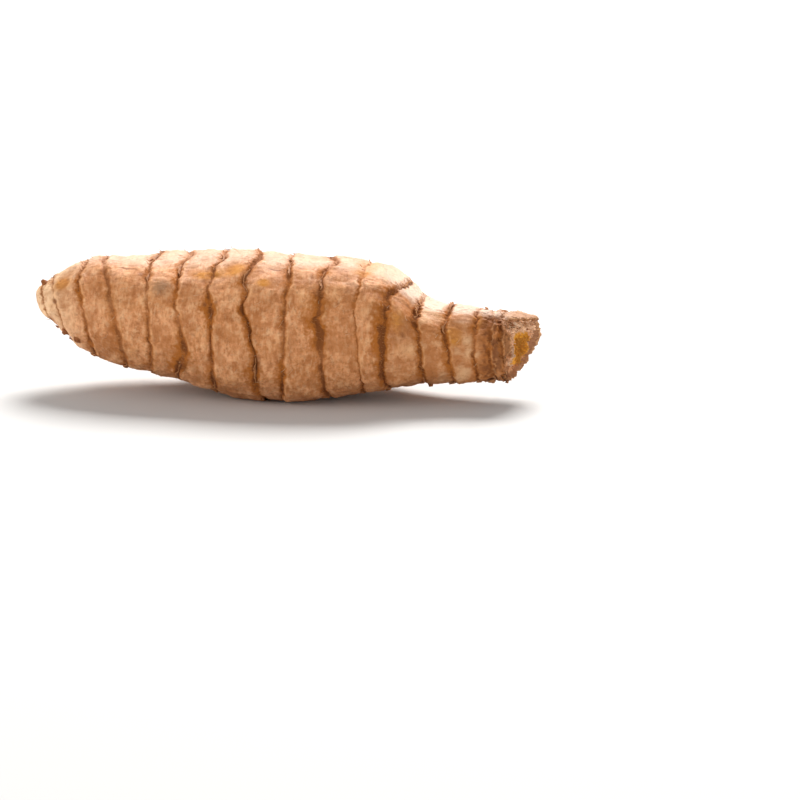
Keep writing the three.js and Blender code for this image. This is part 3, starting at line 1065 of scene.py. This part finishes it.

# %% [markdown]
# ## Paint of the skin
#
# Turmeric skin is tan over pinkish cream, with ochre where it is rubbed, because the flesh
# under it is deep yellow. From a step away it is an even tan; close up it is a fine mottle with
# specks. The layers go on in the order in which they came to the root: the living skin, then
# wear and soil, then the bark by the break, then the brown scars with their dry lips. Light and
# shade are painted in as well: the top, the tip and the raised relief are paler, a painted
# highlight, and so in part are the scars' lips; the hollows and the bark's cracks are darker,
# painted shade. Roughness and a fine bump follow the same masks.

# %% Skin colours and the material
SKIN_TAN = (0.685, 0.288, 0.108, 1)
SKIN_PINK = (0.81, 0.378, 0.178, 1)
SKIN_BROWN = (0.44, 0.158, 0.042, 1)
CELL_DARK = (0.38, 0.125, 0.028, 1)
SPECK_BROWN = (0.26, 0.08, 0.018, 1)
SPECK_PALE = (0.88, 0.57, 0.32, 1)
OCHRE_YELLOW = (0.64, 0.25, 0.028, 1)
# paler skin on the top, a painted highlight where the light from above burns it out
SKIN_TOP_HIGHLIGHT = (0.86, 0.69, 0.57, 1)
TIP_HIGHLIGHT = (1.0, 0.70, 0.43, 1)
SOIL_GREY = (0.36, 0.19, 0.095, 1)
SCAR_BROWN = (0.19, 0.055, 0.0095, 1)
HALO_BROWN = (0.40, 0.125, 0.017, 1)
LIP_PALE = (0.88, 0.46, 0.202, 1)
BARK_BROWN = (0.46, 0.20, 0.075, 1)
# the low gloss of a corky skin
SKIN_SHINE = {"Specular IOR Level": 0.3, "Sheen Weight": 0.02, "Sheen Roughness": 0.5,
              "Sheen Tint": (1.0, 0.95, 0.9, 1)}
SKIN_READS = ("x", "scar", "side", "dark", "line", "ochre", "grey", "blot", "dry", "bark",
              "relief")


def living_skin(tree, at, grain, patches, plump):
    """Tan and pink clouds, with cells, streaks and specks, and a paler top that is a painted
    highlight.
    """
    cells, streaks = grain["Cells"], grain["Streaks"]
    return lay(tree, SKIN_TAN, [
        (SKIN_PINK, grain["Clouds"], 0.9),
        (SKIN_BROWN, ramp(tree, patches["Clouds"], 0.5, 0.0), 0.4),
        (CELL_DARK, times(tree, ramp(tree, cells, 0.6, 0.05), plump), 0.95),
        (CELL_DARK, ramp(tree, patches["Cells"], 0.4, 0.0), 0.6),
        (SPECK_PALE, ramp(tree, patches["Cells"], 0.6, 1.0), 0.4),
        (SPECK_PALE, times(tree, ramp(tree, cells, 0.62, 1.0), plump), 0.5),
        (SPECK_PALE, ramp(tree, streaks, 0.55, 0.95), 0.28),
        (CELL_DARK, ramp(tree, streaks, 0.45, 0.0), 0.45),
        (SPECK_BROWN, patches["Specks"], 0.4),
        # painted highlight: the top of the root is paler
        (SKIN_TOP_HIGHLIGHT, ramp(tree, at["dry"], 0.45, 1.0), 0.48),
    ])


def worn_skin(tree, colour, at, grain, patches, plump, off_lit_top):
    """The tip's painted highlight, the older and knottier neck, rubbed and soiled places, and
    painted shade in the hollows with a painted highlight on the ridges.
    """
    cells = grain["Cells"]
    tip = times(tree, ramp(tree, at["x"], -35.0, -43.0), ramp(tree, cells, 0.1, 0.6, 0.4))
    aged = times(tree, ramp(tree, at["x"], 16.0, 26.0), ramp(tree, cells, 1.0, 0.2, 0.4))
    knotty = ramp(tree, at["x"], 17.0, 27.0)
    rubbed = times(tree, at["ochre"], ramp(tree, cells, 0.1, 0.5, 0.6))
    soiled = times(tree, at["grey"], ramp(tree, cells, 0.7, 0.3, 0.6))
    return lay(tree, colour, [
        # painted highlight on the tip
        (TIP_HIGHLIGHT, tip, 0.75),
        (SKIN_BROWN, times(tree, aged, off_lit_top), 0.75),
        (SPECK_PALE, times(tree, knotty, ramp(tree, patches["Clouds"], 0.5, 0.85)), 0.5),
        (CELL_DARK, times(tree, knotty, ramp(tree, patches["Cells"], 0.45, 0.1)), 0.6),
        (OCHRE_YELLOW, ramp(tree, rubbed, 0.08, 0.5), 0.85),
        (SOIL_GREY, ramp(tree, soiled, 0.1, 0.7), 0.85),
        # painted shade in the hollows of the relief, and a painted highlight on its ridges
        (SKIN_BROWN, times(tree, ramp(tree, at["relief"], -0.03, -0.16), plump), 0.6),
        (LIP_PALE, ramp(tree, at["relief"], 0.02, 0.25), 0.35),
        (SPECK_BROWN, grain["Specks"], 0.45),
    ])


def barked_skin(tree, colour, at, cells, off_lit_top):
    """The neck, paler on top as a painted highlight, and the folded bark by the break, with painted
    shade in its cracks.
    """
    darkened = times(tree, at["bark"], ramp(tree, cells, 0.9, 0.3, 0.35))
    # painted shade in the bark's cracks, and a painted highlight on the top of the neck
    shaded_cracks = times(tree, at["bark"], ramp(tree, at["relief"], 0.02, -0.18))
    neck_top_highlight = times(tree, ramp(tree, at["x"], 17.0, 23.0), ramp(tree, at["dry"], 0.55, 0.9))
    return lay(tree, colour, [
        (HALO_BROWN, times(tree, darkened, off_lit_top), 0.7),
        (SCAR_BROWN, shaded_cracks, 0.9),
        (SKIN_TOP_HIGHLIGHT, neck_top_highlight, 0.5),
        (BARK_BROWN, ramp(tree, at["x"], 38.5, 41.5), 0.75),
    ])


def scarred_skin(tree, colour, at, cells, scar):
    """The halo, lip and crack of each ring, and the short blots beside some of them; the pale lip
    is partly a painted highlight.
    """
    blot = plus(tree, at["blot"], wavering(tree, cells, 0.5))
    return lay(tree, colour, [
        (HALO_BROWN, scar["Halo"], 1.2),
        # the lip's own paler colour, partly a painted highlight on its raised edge
        (LIP_PALE, scar["Lip"], 0.5),
        (SCAR_BROWN, ramp(tree, blot, 0.3, 0.75), 0.72),
        (SCAR_BROWN, scar["Stain"], 0.95),
    ])


def paint_skin():
    material, tree, shader = new_paint("turmeric_skin")
    at = {name: attribute(tree, name) for name in SKIN_READS}
    grain = mottled(tree, 7.0, 2.2, 0.55, 0.9)
    patches = mottled(tree, 3.6, 0.95, 0.26, 0.8)
    cells = grain["Cells"]
    # the scars are painted a quarter lighter on the top, a painted highlight
    darkness = times(tree, at["dark"], ramp(tree, at["dry"], 0.5, 1.0, 1.0, 0.75))
    scar = use_group(tree, stain, {"Place": place_in_mm(tree), "Distance": at["scar"],
                                   "Side": at["side"], "Darkness": darkness,
                                   "Width": at["line"]})
    plump = ramp(tree, at["dry"], 0.6, 1.0, 1.0, 0.45)
    # 1 on the front and under it, 0.08 on top: keeps the neck's and bark's browning off the top's
    #                                           painted highlight
    off_lit_top = ramp(tree, at["dry"], 0.9, 0.5, 0.08)
    colour = living_skin(tree, at, grain, patches, plump)
    colour = worn_skin(tree, colour, at, grain, patches, plump, off_lit_top)
    colour = barked_skin(tree, colour, at, cells, off_lit_top)
    colour = scarred_skin(tree, colour, at, cells, scar)
    rough = plus(tree, ramp(tree, cells, 0.0, 1.0, 0.55, 0.7), times(tree, scar["Halo"], 0.3),
                 clamp=True)
    give_paint(tree, shader, colour, rough)
    fine = plus(tree, times(tree, grain["Streaks"], 0.35), times(tree, grain["Specks"], -0.5))
    give_bump(tree, shader, plus(tree, times(tree, cells, 0.5), fine), 0.8, 0.14)
    for name, value in SKIN_SHINE.items():
        shader.inputs[name].default_value = value
    return material


print("skin tan:", [round(v, 2) for v in SKIN_TAN[:3]])

# %% [markdown]
# ## Paint of the torn flesh
#
# The break shows four things: the pinkish rind inside the bark, pale knobs of torn rind on the
# ledge, a brown dried wall, and the deep ochre core. The attribute "core" is the share of the way
# out from the core's middle, so it says which is which, and noise frays the borders. Light and
# shade are painted in as well: the raised rind is paler, a painted highlight, and its hollows
# browner, painted shade; the knobs are paler partly as a painted highlight, and the wall's brown
# band is partly painted shadow under the overhanging rim.

# %% Flesh colours and the material
CORE_OCHRE = (0.90, 0.40, 0.03, 1)
CORE_DEEP = (0.58, 0.21, 0.018, 1)
RIND_PINK = (0.80, 0.37, 0.16, 1)
RIND_PALE = (1.0, 0.72, 0.50, 1)
WALL_AND_SHADOW_BROWN = (0.34, 0.145, 0.062, 1)
RIND_BROWN = (0.30, 0.11, 0.032, 1)
BARK_TAN = (0.70, 0.38, 0.17, 1)


def paint_flesh():
    material, tree, shader = new_paint("turmeric_flesh")
    grain = mottled(tree, 2.4, 0.8, 0.3, 1.0)
    cells, relief, ledge = grain["Cells"], attribute(tree, "relief"), attribute(tree, "ledge")
    out = plus(tree, attribute(tree, "core"), wavering(tree, cells, 0.16))
    inside = layer(tree, CORE_OCHRE, CORE_DEEP, ramp(tree, cells, 0.6, 0.1), 0.8)
    band = times(tree, ramp(tree, out, 0.52, 0.58), ramp(tree, out, 0.86, 0.78))
    knobs = times(tree, times(tree, ledge, band), ramp(tree, relief, -0.16, 0.0))
    wall_and_shadow_from = plus(tree, out, times(tree, ledge, -0.09))
    colour = lay(tree, RIND_PINK, [
        # painted highlight on the raised rind, and painted shade in its hollows
        (RIND_PALE, ramp(tree, relief, 0.0, 0.25), 0.5),
        (RIND_BROWN, ramp(tree, relief, 0.02, -0.2), 0.8),
        # pale torn rind on the ledge, lighter still as a painted highlight where it stands up
        (RIND_PALE, knobs, 1.1),
        (CORE_DEEP, grain["Specks"], 0.35),
        (RIND_PALE, ramp(tree, out, 0.57, 0.50), 0.55),
        (inside, ramp(tree, out, 0.49, 0.44), 1.0),
        # the dried wall's own brown, which is partly painted shadow under the overhanging rim
        (WALL_AND_SHADOW_BROWN, ramp(tree, wall_and_shadow_from, 0.76, 0.82), 0.8),
        (BARK_TAN, ramp(tree, out, 0.93, 0.95), 0.9),
        (RIND_BROWN, ramp(tree, out, 0.99, 1.02), 0.8),
    ])
    give_paint(tree, shader, colour, ramp(tree, cells, 0.0, 1.0, 0.65, 0.85))
    give_bump(tree, shader, cells, 0.7, 0.15)
    return material


print("core ochre:", [round(v, 2) for v in CORE_OCHRE[:3]])

# %% [markdown]
# ## Remains of the scale leaves
#
# A scale leaf once wrapped the root from each ring towards the tip. Most of it has rotted away;
# what is left is a brown, papery fringe that lies on the skin and curls off it here and there.
# Each strip is rows of points laid over the net's own rule, so it hugs the root, and a Solidify
# modifier gives the paper its thickness. Some strips are listed one by one, where this root has
# them, and the rest follow the seeded draw.

# %% Strips of paper along the rings
# ring number from the tip, start and end angle, length and lift in mm
CHOSEN_STRIPS = [
    (4, 72, 112, 0.8, 0.3), (4, 34, 56, 0.4, 0.1), (5, 54, 92, 0.5, 0.2), (6, 62, 90, 0.4, 0.1),
    (7, 32, 60, 0.4, 0.1), (7, -30, -8, 0.4, 0.08), (8, 56, 88, 0.45, 0.15),
    (9, 40, 62, 0.5, 0.12), (11, 78, 112, 0.3, 0.1), (12, 40, 84, 0.6, 0.15),
    (13, 70, 108, 0.6, 0.2), (13, 26, 50, 0.4, 0.12),
]
STRIPS_BEHIND = 3
STRIP_STEP = 1.1
STRIP_ROWS = 5
# how far a strip reaches under its ring, in mm, and how blunt its ends are
STRIP_UNDER = 0.08
BLUNT_END = 0.06
PAPER_THICKNESS = 0.07
# the root of a strip is sunk so far in the skin, and its free edge stands so far over it, in mm
PAPER_SUNK = -0.05
PAPER_RISE = 0.08


def strips_behind():
    """Strips on the back and the belly, drawn for each ring."""
    made = []
    for number, ring in enumerate(RINGS):
        for k in range(STRIPS_BEHIND):
            start = 112 + 70 * k + 25 * draw(ring[0], 3 + k)
            arc = 22 + 38 * draw(ring[0], 9 + k)
            length = 0.4 + 0.7 * draw(ring[0], 15 + k)
            made.append((number, start, start + arc, length, 0.1 + 0.35 * draw(ring[0], 21 + k)))
    return made


def skin_at(x, angles, height):
    """Points at a height over the smooth body, where a ring's relief is left out."""
    centre, arm = cross_section(x, angles)
    radius = np.linalg.norm(arm, axis=-1)
    raised = lump_relief(x, angles) + feature_relief(x, angles, radius)
    lift = (raised * np.minimum(1, radius / THIN_RADIUS) + height) / radius
    return centre + arm * (1 + lift)[:, None]


def strip_points(number, start, end, length, lift):
    """A grid of points from the ring to the free edge of its paper."""
    ring = RINGS[number]
    count = max(6, int((end - start) / STRIP_STEP))
    angles = np.radians(np.linspace(start, end, count))
    taper = np.sin(np.linspace(BLUNT_END, math.pi - BLUNT_END, count)) ** 0.4
    torn_edge = 0.6 + 0.9 * ragged(angles * 4.3, ring[0] + start)
    reach = length * taper * np.clip(torn_edge, 0.12, 1.4)
    curl = lift * taper * (1 + 0.8 * ragged(angles * 1.7, ring[0] - start))
    grid = []
    for across in np.linspace(0, 1, STRIP_ROWS):
        height = PAPER_SUNK + PAPER_THICKNESS + PAPER_RISE * across + curl * across ** 2
        x = ring_x(ring, angles) + STRIP_UNDER - reach * across
        grid.append(skin_at(x, angles, height))
    return np.array(grid)


def strips_mesh(strips):
    """All strips as one mesh; "across" runs from 0 at the ring to 1 at the free edge."""
    points, faces, across_values = [], [], []
    for strip in strips:
        grid = strip_points(*strip)
        base, (row_count, count) = len(points), grid.shape[:2]
        points += grid.reshape(-1, 3).tolist()
        across_values += np.repeat(np.linspace(0, 1, row_count), count).tolist()
        for row in range(row_count - 1):
            for k in range(count - 1):
                here = base + row * count + k
                faces.append((here, here + 1, here + count + 1, here + count))
    mesh = bpy.data.meshes.new("paper")
    mesh.from_pydata((np.array(points) * MM).tolist(), [], faces)
    mesh.attributes.new("across", "FLOAT", "POINT").data.foreach_set("value", across_values)
    return mesh


def lift_onto_floor(points):
    for point in points:
        point.co.z = max(point.co.z, 0.0)


def make_paper(material):
    sheet = bpy.data.objects.new("paper_sheet", strips_mesh(CHOSEN_STRIPS + strips_behind()))
    bpy.context.scene.collection.objects.link(sheet)
    sheet.data.materials.append(material)
    wall = sheet.modifiers.new("thickness", "SOLIDIFY")
    wall.thickness = PAPER_THICKNESS * MM
    wall.offset = 0
    paper = settle(sheet, "scale_remains")
    lift_onto_floor(paper.data.vertices)
    paper.data.shade_smooth()
    return paper


print("strips of paper:", len(CHOSEN_STRIPS) + STRIPS_BEHIND * len(RINGS))

# %% [markdown]
# ## Stubs of rootlets
#
# Thin roots once grew from the rings and broke off. What is left are small stubs, a millimetre
# across, with a hollow end. One stands on the tip, four sit under it, and the rest are on the
# belly and the back. Each is lathed from one outline round the skin's own normal, and made a
# little uneven, so that no two are the same.

# %% Rootlet stubs
# x, angle, width in mm, height in mm
STUBS = [
    (-43.9, 66, 1.0, 0.8), (-39.6, -46, 1.0, 0.45), (-37.0, -42, 1.3, 0.45), (-33.6, -58, 0.9, 0.4),
    (-29.0, -80, 1.2, 0.6), (-22.6, 262, 1.4, 0.8), (-17.2, 236, 1.1, 0.8),
    (-10.2, 222, 1.3, 1.1), (9.6, 232, 1.2, 0.9), (20.6, 262, 1.3, 0.8), (26.8, 286, 1.0, 0.9),
    (31.9, 250, 1.1, 0.7), (16.3, 205, 1.0, 0.8), (-31.3, 196, 1.0, 0.8), (2.8, 152, 0.8, 0.6),
]
# share of the width, share of the height: the lathe's outline from the foot to the hollow
STUB_OUTLINE = [(1.7, -0.5), (1.35, 0.0), (0.95, 0.35), (0.78, 0.8), (0.62, 1.0), (0.42, 0.95),
                (0.3, 0.6), (0.0, 0.5)]
STUB_SIDES = 14
STUB_UNEVEN = 0.16
# seams closer than this, in mm, are closed
SEAM = 0.001


def stubs_mesh():
    points, faces = [], []
    turns = np.arange(STUB_SIDES) * math.tau / STUB_SIDES
    for x, degrees, width, height in STUBS:
        here, angles = np.array([x]), np.array([math.radians(degrees)])
        foot_point = skin_at(here, angles, 0)[0]
        along = skin_at(here + 0.3, angles, 0)[0] - foot_point
        round_it = skin_at(here, angles + 0.03, 0)[0] - foot_point
        outward = np.cross(round_it, along)
        outward *= np.sign(np.dot(outward, foot_point - cross_section(here, angles)[0][0]))
        outward /= np.linalg.norm(outward)
        side = along / np.linalg.norm(along)
        other = np.cross(outward, side)
        base = len(points)
        for share, rise in STUB_OUTLINE:
            uneven = 1 + STUB_UNEVEN * ragged(turns, x + rise)
            ring = (foot_point + outward * height * rise
                    + (np.cos(turns)[:, None] * side + np.sin(turns)[:, None] * other)
                    * (width / 2 * share * uneven)[:, None])
            points += ring.tolist()
        for row in range(len(STUB_OUTLINE) - 1):
            for k in range(STUB_SIDES):
                low, next_k = base + row * STUB_SIDES, (k + 1) % STUB_SIDES
                faces.append((low + k, low + next_k, low + STUB_SIDES + next_k,
                              low + STUB_SIDES + k))
        faces.append(tuple(base + k for k in reversed(range(STUB_SIDES))))
    mesh = bpy.data.meshes.new("rootlet_stubs")
    mesh.from_pydata((np.array(points) * MM).tolist(), [], faces)
    return mesh


def make_stubs(material):
    stubs = bpy.data.objects.new("rootlet_stubs", stubs_mesh())
    bpy.context.scene.collection.objects.link(stubs)
    seams = bmesh.new()
    seams.from_mesh(stubs.data)
    bmesh.ops.remove_doubles(seams, verts=seams.verts, dist=SEAM * MM)
    bmesh.ops.recalc_face_normals(seams, faces=seams.faces)
    lift_onto_floor(seams.verts)
    seams.to_mesh(stubs.data)
    seams.free()
    stubs.data.materials.append(material)
    stubs.data.shade_smooth()
    return stubs


print("rootlet stubs:", len(STUBS))

# %% [markdown]
# ## Fibres
#
# Where the leaves rotted, their veins are left as short stiff fibres across the ring. The torn
# core ends in a brush of ochre strands, pale tufts of torn rind stand on the ledge over it, and
# a few longer pale hairs cling to the skin. All are the same thing, so one geometry tree makes
# them: it scatters points over the skin where an attribute says so, sets a small bent thread on
# each, and gives it a three-sided thickness.

# %% Tree of the fibres
# the shortest thread as a share of the longest, and how much thinner a thread's end is
THREAD_SHORTEST = 0.35
THREAD_TAPER = 0.7


def fibre_tree():
    tree = bpy.data.node_groups.new("fibres", "GeometryNodeTree")
    given, made = add_sockets(tree, [
        ("Geometry", "in", "Geometry", None),
        ("bed", "in", "String", "fringe"),
        ("density", "in", "Float", 1e6),
        ("along", "in", "Vector", (1.0, 0.0, 0.0)),
        ("lift", "in", "Float", 0.3),
        ("spread", "in", "Float", 0.5),
        ("length", "in", "Float", 0.001),
        ("thickness", "in", "Float", 0.00003),
        ("seed", "in", "Int", 1),
        ("paint", "in", "Material", None),
        ("Geometry", "out", "Geometry", None),
    ])

    def vector(operation, first, second=None, scale=None):
        inputs = {0: first}
        if second is not None:
            inputs[1] = second
        if scale is not None:
            inputs["Scale"] = scale
        made_node = add_node(tree, "ShaderNodeVectorMath", inputs, operation=operation)
        return made_node.outputs["Value" if operation == "DOT_PRODUCT" else "Vector"]

    density = times(tree, stored(tree, given["bed"]), given["density"])
    scattered = add_node(tree, "GeometryNodeDistributePointsOnFaces",
                         {"Mesh": given["Geometry"], "Seed": given["seed"],
                          "Density": density})
    normal = scattered.outputs["Normal"]
    against = vector("SCALE", normal, scale=vector("DOT_PRODUCT", normal, given["along"]))
    flat = vector("NORMALIZE", vector("SUBTRACT", given["along"], against))
    chance = add_node(tree, "FunctionNodeRandomValue",
                      {"Min": (-1.0, -1.0, -1.0), "Max": (1.0, 1.0, 1.0),
                       "Seed": given["seed"]}, data_type="FLOAT_VECTOR").outputs[0]
    aimed = vector("ADD", vector("ADD", flat, vector("SCALE", normal, scale=given["lift"])),
                   vector("SCALE", chance, scale=given["spread"]))
    turned = add_node(tree, "FunctionNodeAlignRotationToVector", {"Vector": aimed}, axis="Z")
    size = add_node(tree, "FunctionNodeRandomValue",
                    {2: THREAD_SHORTEST, 3: 1.0, "Seed": given["seed"]},
                    data_type="FLOAT").outputs[1]
    thread = add_node(tree, "GeometryNodeCurveQuadraticBezier",
                      {"Resolution": 3, "Start": (0.0, 0.0, 0.0), "Middle": (0.0, 0.0, 0.6),
                       "End": (0.3, 0.0, 0.95)})
    stood = add_node(tree, "GeometryNodeInstanceOnPoints",
                     {"Points": scattered.outputs["Points"], "Instance": thread.outputs[0],
                      "Rotation": turned.outputs[0],
                      "Scale": times(tree, size, given["length"])})
    real = add_node(tree, "GeometryNodeRealizeInstances", {"Geometry": stood.outputs[0]})
    along_thread = add_node(tree, "GeometryNodeSplineParameter").outputs["Factor"]
    taper = maths(tree, "SUBTRACT", 1.0, times(tree, along_thread, THREAD_TAPER))
    thinned = add_node(tree, "GeometryNodeSetCurveRadius",
                       {"Curve": real.outputs[0], "Radius": taper})
    section = add_node(tree, "GeometryNodeCurvePrimitiveCircle",
                       {"Resolution": 3, "Radius": given["thickness"]})
    solid = add_node(tree, "GeometryNodeCurveToMesh",
                     {"Curve": thinned.outputs[0], "Profile Curve": section.outputs[0],
                      "Fill Caps": True})
    painted = add_node(tree, "GeometryNodeSetMaterial",
                       {"Geometry": kept_above_floor(tree, solid.outputs[0]),
                        "Material": given["paint"]})
    tree.links.new(painted.outputs[0], made["Geometry"])
    return tree


fibres = fibre_tree()


def make_fibres(name, over, values):
    """Fibres that the tree grows over a piece, as one plain mesh."""
    bed = bpy.data.objects.new("bed", over.data)
    bpy.context.scene.collection.objects.link(bed)
    give_tree(bed, fibres, values)
    return settle(bed, name)


print("tree of the fibres:", len(fibres.nodes), "nodes")

# %% [markdown]
# ## Paint of the paper and the fibres
#
# The paper is darkest where it joins the ring and bleached at its free edge; the fibres are
# straw to brown, each place a little different. Both are dry and rough. They share the mottle.

# %% Paper and fibre materials
PAPER_BROWN = (0.27, 0.095, 0.026, 1)
PAPER_STRAW = (0.52, 0.225, 0.078, 1)
FIBRE_BROWN = (0.33, 0.12, 0.032, 1)
FIBRE_STRAW = (0.56, 0.23, 0.06, 1)
STRAND_OCHRE = (0.88, 0.42, 0.045, 1)
STRAND_BROWN = (0.62, 0.25, 0.03, 1)
HAIR_PALE = (0.80, 0.58, 0.38, 1)
HAIR_STRAW = (0.62, 0.38, 0.20, 1)


def paper_paint():
    material, tree, shader = new_paint("scale_paper")
    grain = mottled(tree, 3.0, 0.7, 0.3, 0.35)
    cells = grain["Cells"]
    faded = plus(tree, attribute(tree, "across"), wavering(tree, cells, 0.9))
    colour = lay(tree, PAPER_BROWN, [
        (PAPER_STRAW, ramp(tree, faded, 0.15, 1.0), 0.9),
        (SCAR_BROWN, grain["Specks"], 0.6),
    ])
    give_paint(tree, shader, colour, ramp(tree, cells, 0.0, 1.0, 0.6, 0.8))
    give_bump(tree, shader, grain["Streaks"], 0.7, 0.08)
    return material


def fibre_paint(name, dark, pale, rough):
    material, tree, shader = new_paint(name)
    cells = mottled(tree, 5.0, 0.6, 0.3, 1.0)["Cells"]
    give_paint(tree, shader, layer(tree, dark, pale, cells),
               ramp(tree, cells, 0.0, 1.0, rough, rough + 0.15))
    return material


scale_paper = paper_paint()
stub_paint = fibre_paint("stub_bark", SCAR_BROWN, CELL_DARK, 0.7)
fringe_paint = fibre_paint("fringe_fibre", FIBRE_BROWN, FIBRE_STRAW, 0.65)
strand_paint = fibre_paint("core_strand", STRAND_BROWN, STRAND_OCHRE, 0.55)
tuft_paint = fibre_paint("rind_tuft", LIP_PALE, RIND_PALE, 0.6)
hair_paint = fibre_paint("pale_hair", HAIR_STRAW, HAIR_PALE, 0.5)
print("paints:", [m.name for m in bpy.data.materials])

# %% [markdown]
# ## The skin over the solid
#
# The tree is put on the net, the result is made a plain mesh, and this piece then stands for the
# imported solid.

# %% Dressed body
def make_skin():
    net = bpy.data.objects.new("net", base_mesh)
    bpy.context.scene.collection.objects.link(net)
    sizes = {name: size * MM for name, size in RELIEF.items()}
    give_tree(net, fine_relief, {**sizes, "seed": RELIEF_SEED, "skin": paint_skin(),
                                 "flesh": paint_flesh()})
    skin = settle(net, "turmeric_root_skin")
    skin.data.shade_smooth()
    return skin


skin = make_skin()
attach(skin, "root")
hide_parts("turmeric_root")

# %% [markdown]
# ## The fine pieces
#
# The paper and the stubs are laid over the body's own outline, and the fibres are grown on the
# finished skin, so that they stand on its real relief. All of them ride with the root.

# %% Paper, stubs and fibres
# name: bed, density per m2, way they lie, lift, spread, length and thickness in mm, seed, paint
FIBRES = {
    "scar_fringe": ("fringe", 3.2e6, (-1.0, 0.0, 0.0), 0.1, 0.5, 1.0, 0.035, 3, fringe_paint),
    "core_strands": ("strands", 2.2e7, (1.0, 0.0, 0.0), 0.4, 0.45, 0.75, 0.05, 5, strand_paint),
    "ledge_tufts": ("tufts", 1.3e7, (1.0, -0.3, 0.3), 0.6, 0.6, 0.9, 0.08, 6, tuft_paint),
    "pale_hairs": ("hairs", 5e4, (-0.6, 0.0, -0.8), 0.1, 0.45, 1.8, 0.022, 8, hair_paint),
}

fine_pieces = [make_paper(scale_paper), make_stubs(stub_paint)]
for name, (bed, density, along, lift, spread_by, length, thickness, seed, paint) in FIBRES.items():
    fine_pieces.append(make_fibres(name, skin, {
        "bed": bed, "density": density, "along": along, "lift": lift, "spread": spread_by,
        "length": length * MM, "thickness": thickness * MM, "seed": seed, "paint": paint,
    }))
for piece in fine_pieces:
    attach(piece, "root")
for piece in [skin, *fine_pieces]:
    corners = np.array([v.co for v in piece.data.vertices]) / MM
    print(piece.name, "from", corners.min(axis=0).round(1), "to", corners.max(axis=0).round(1))
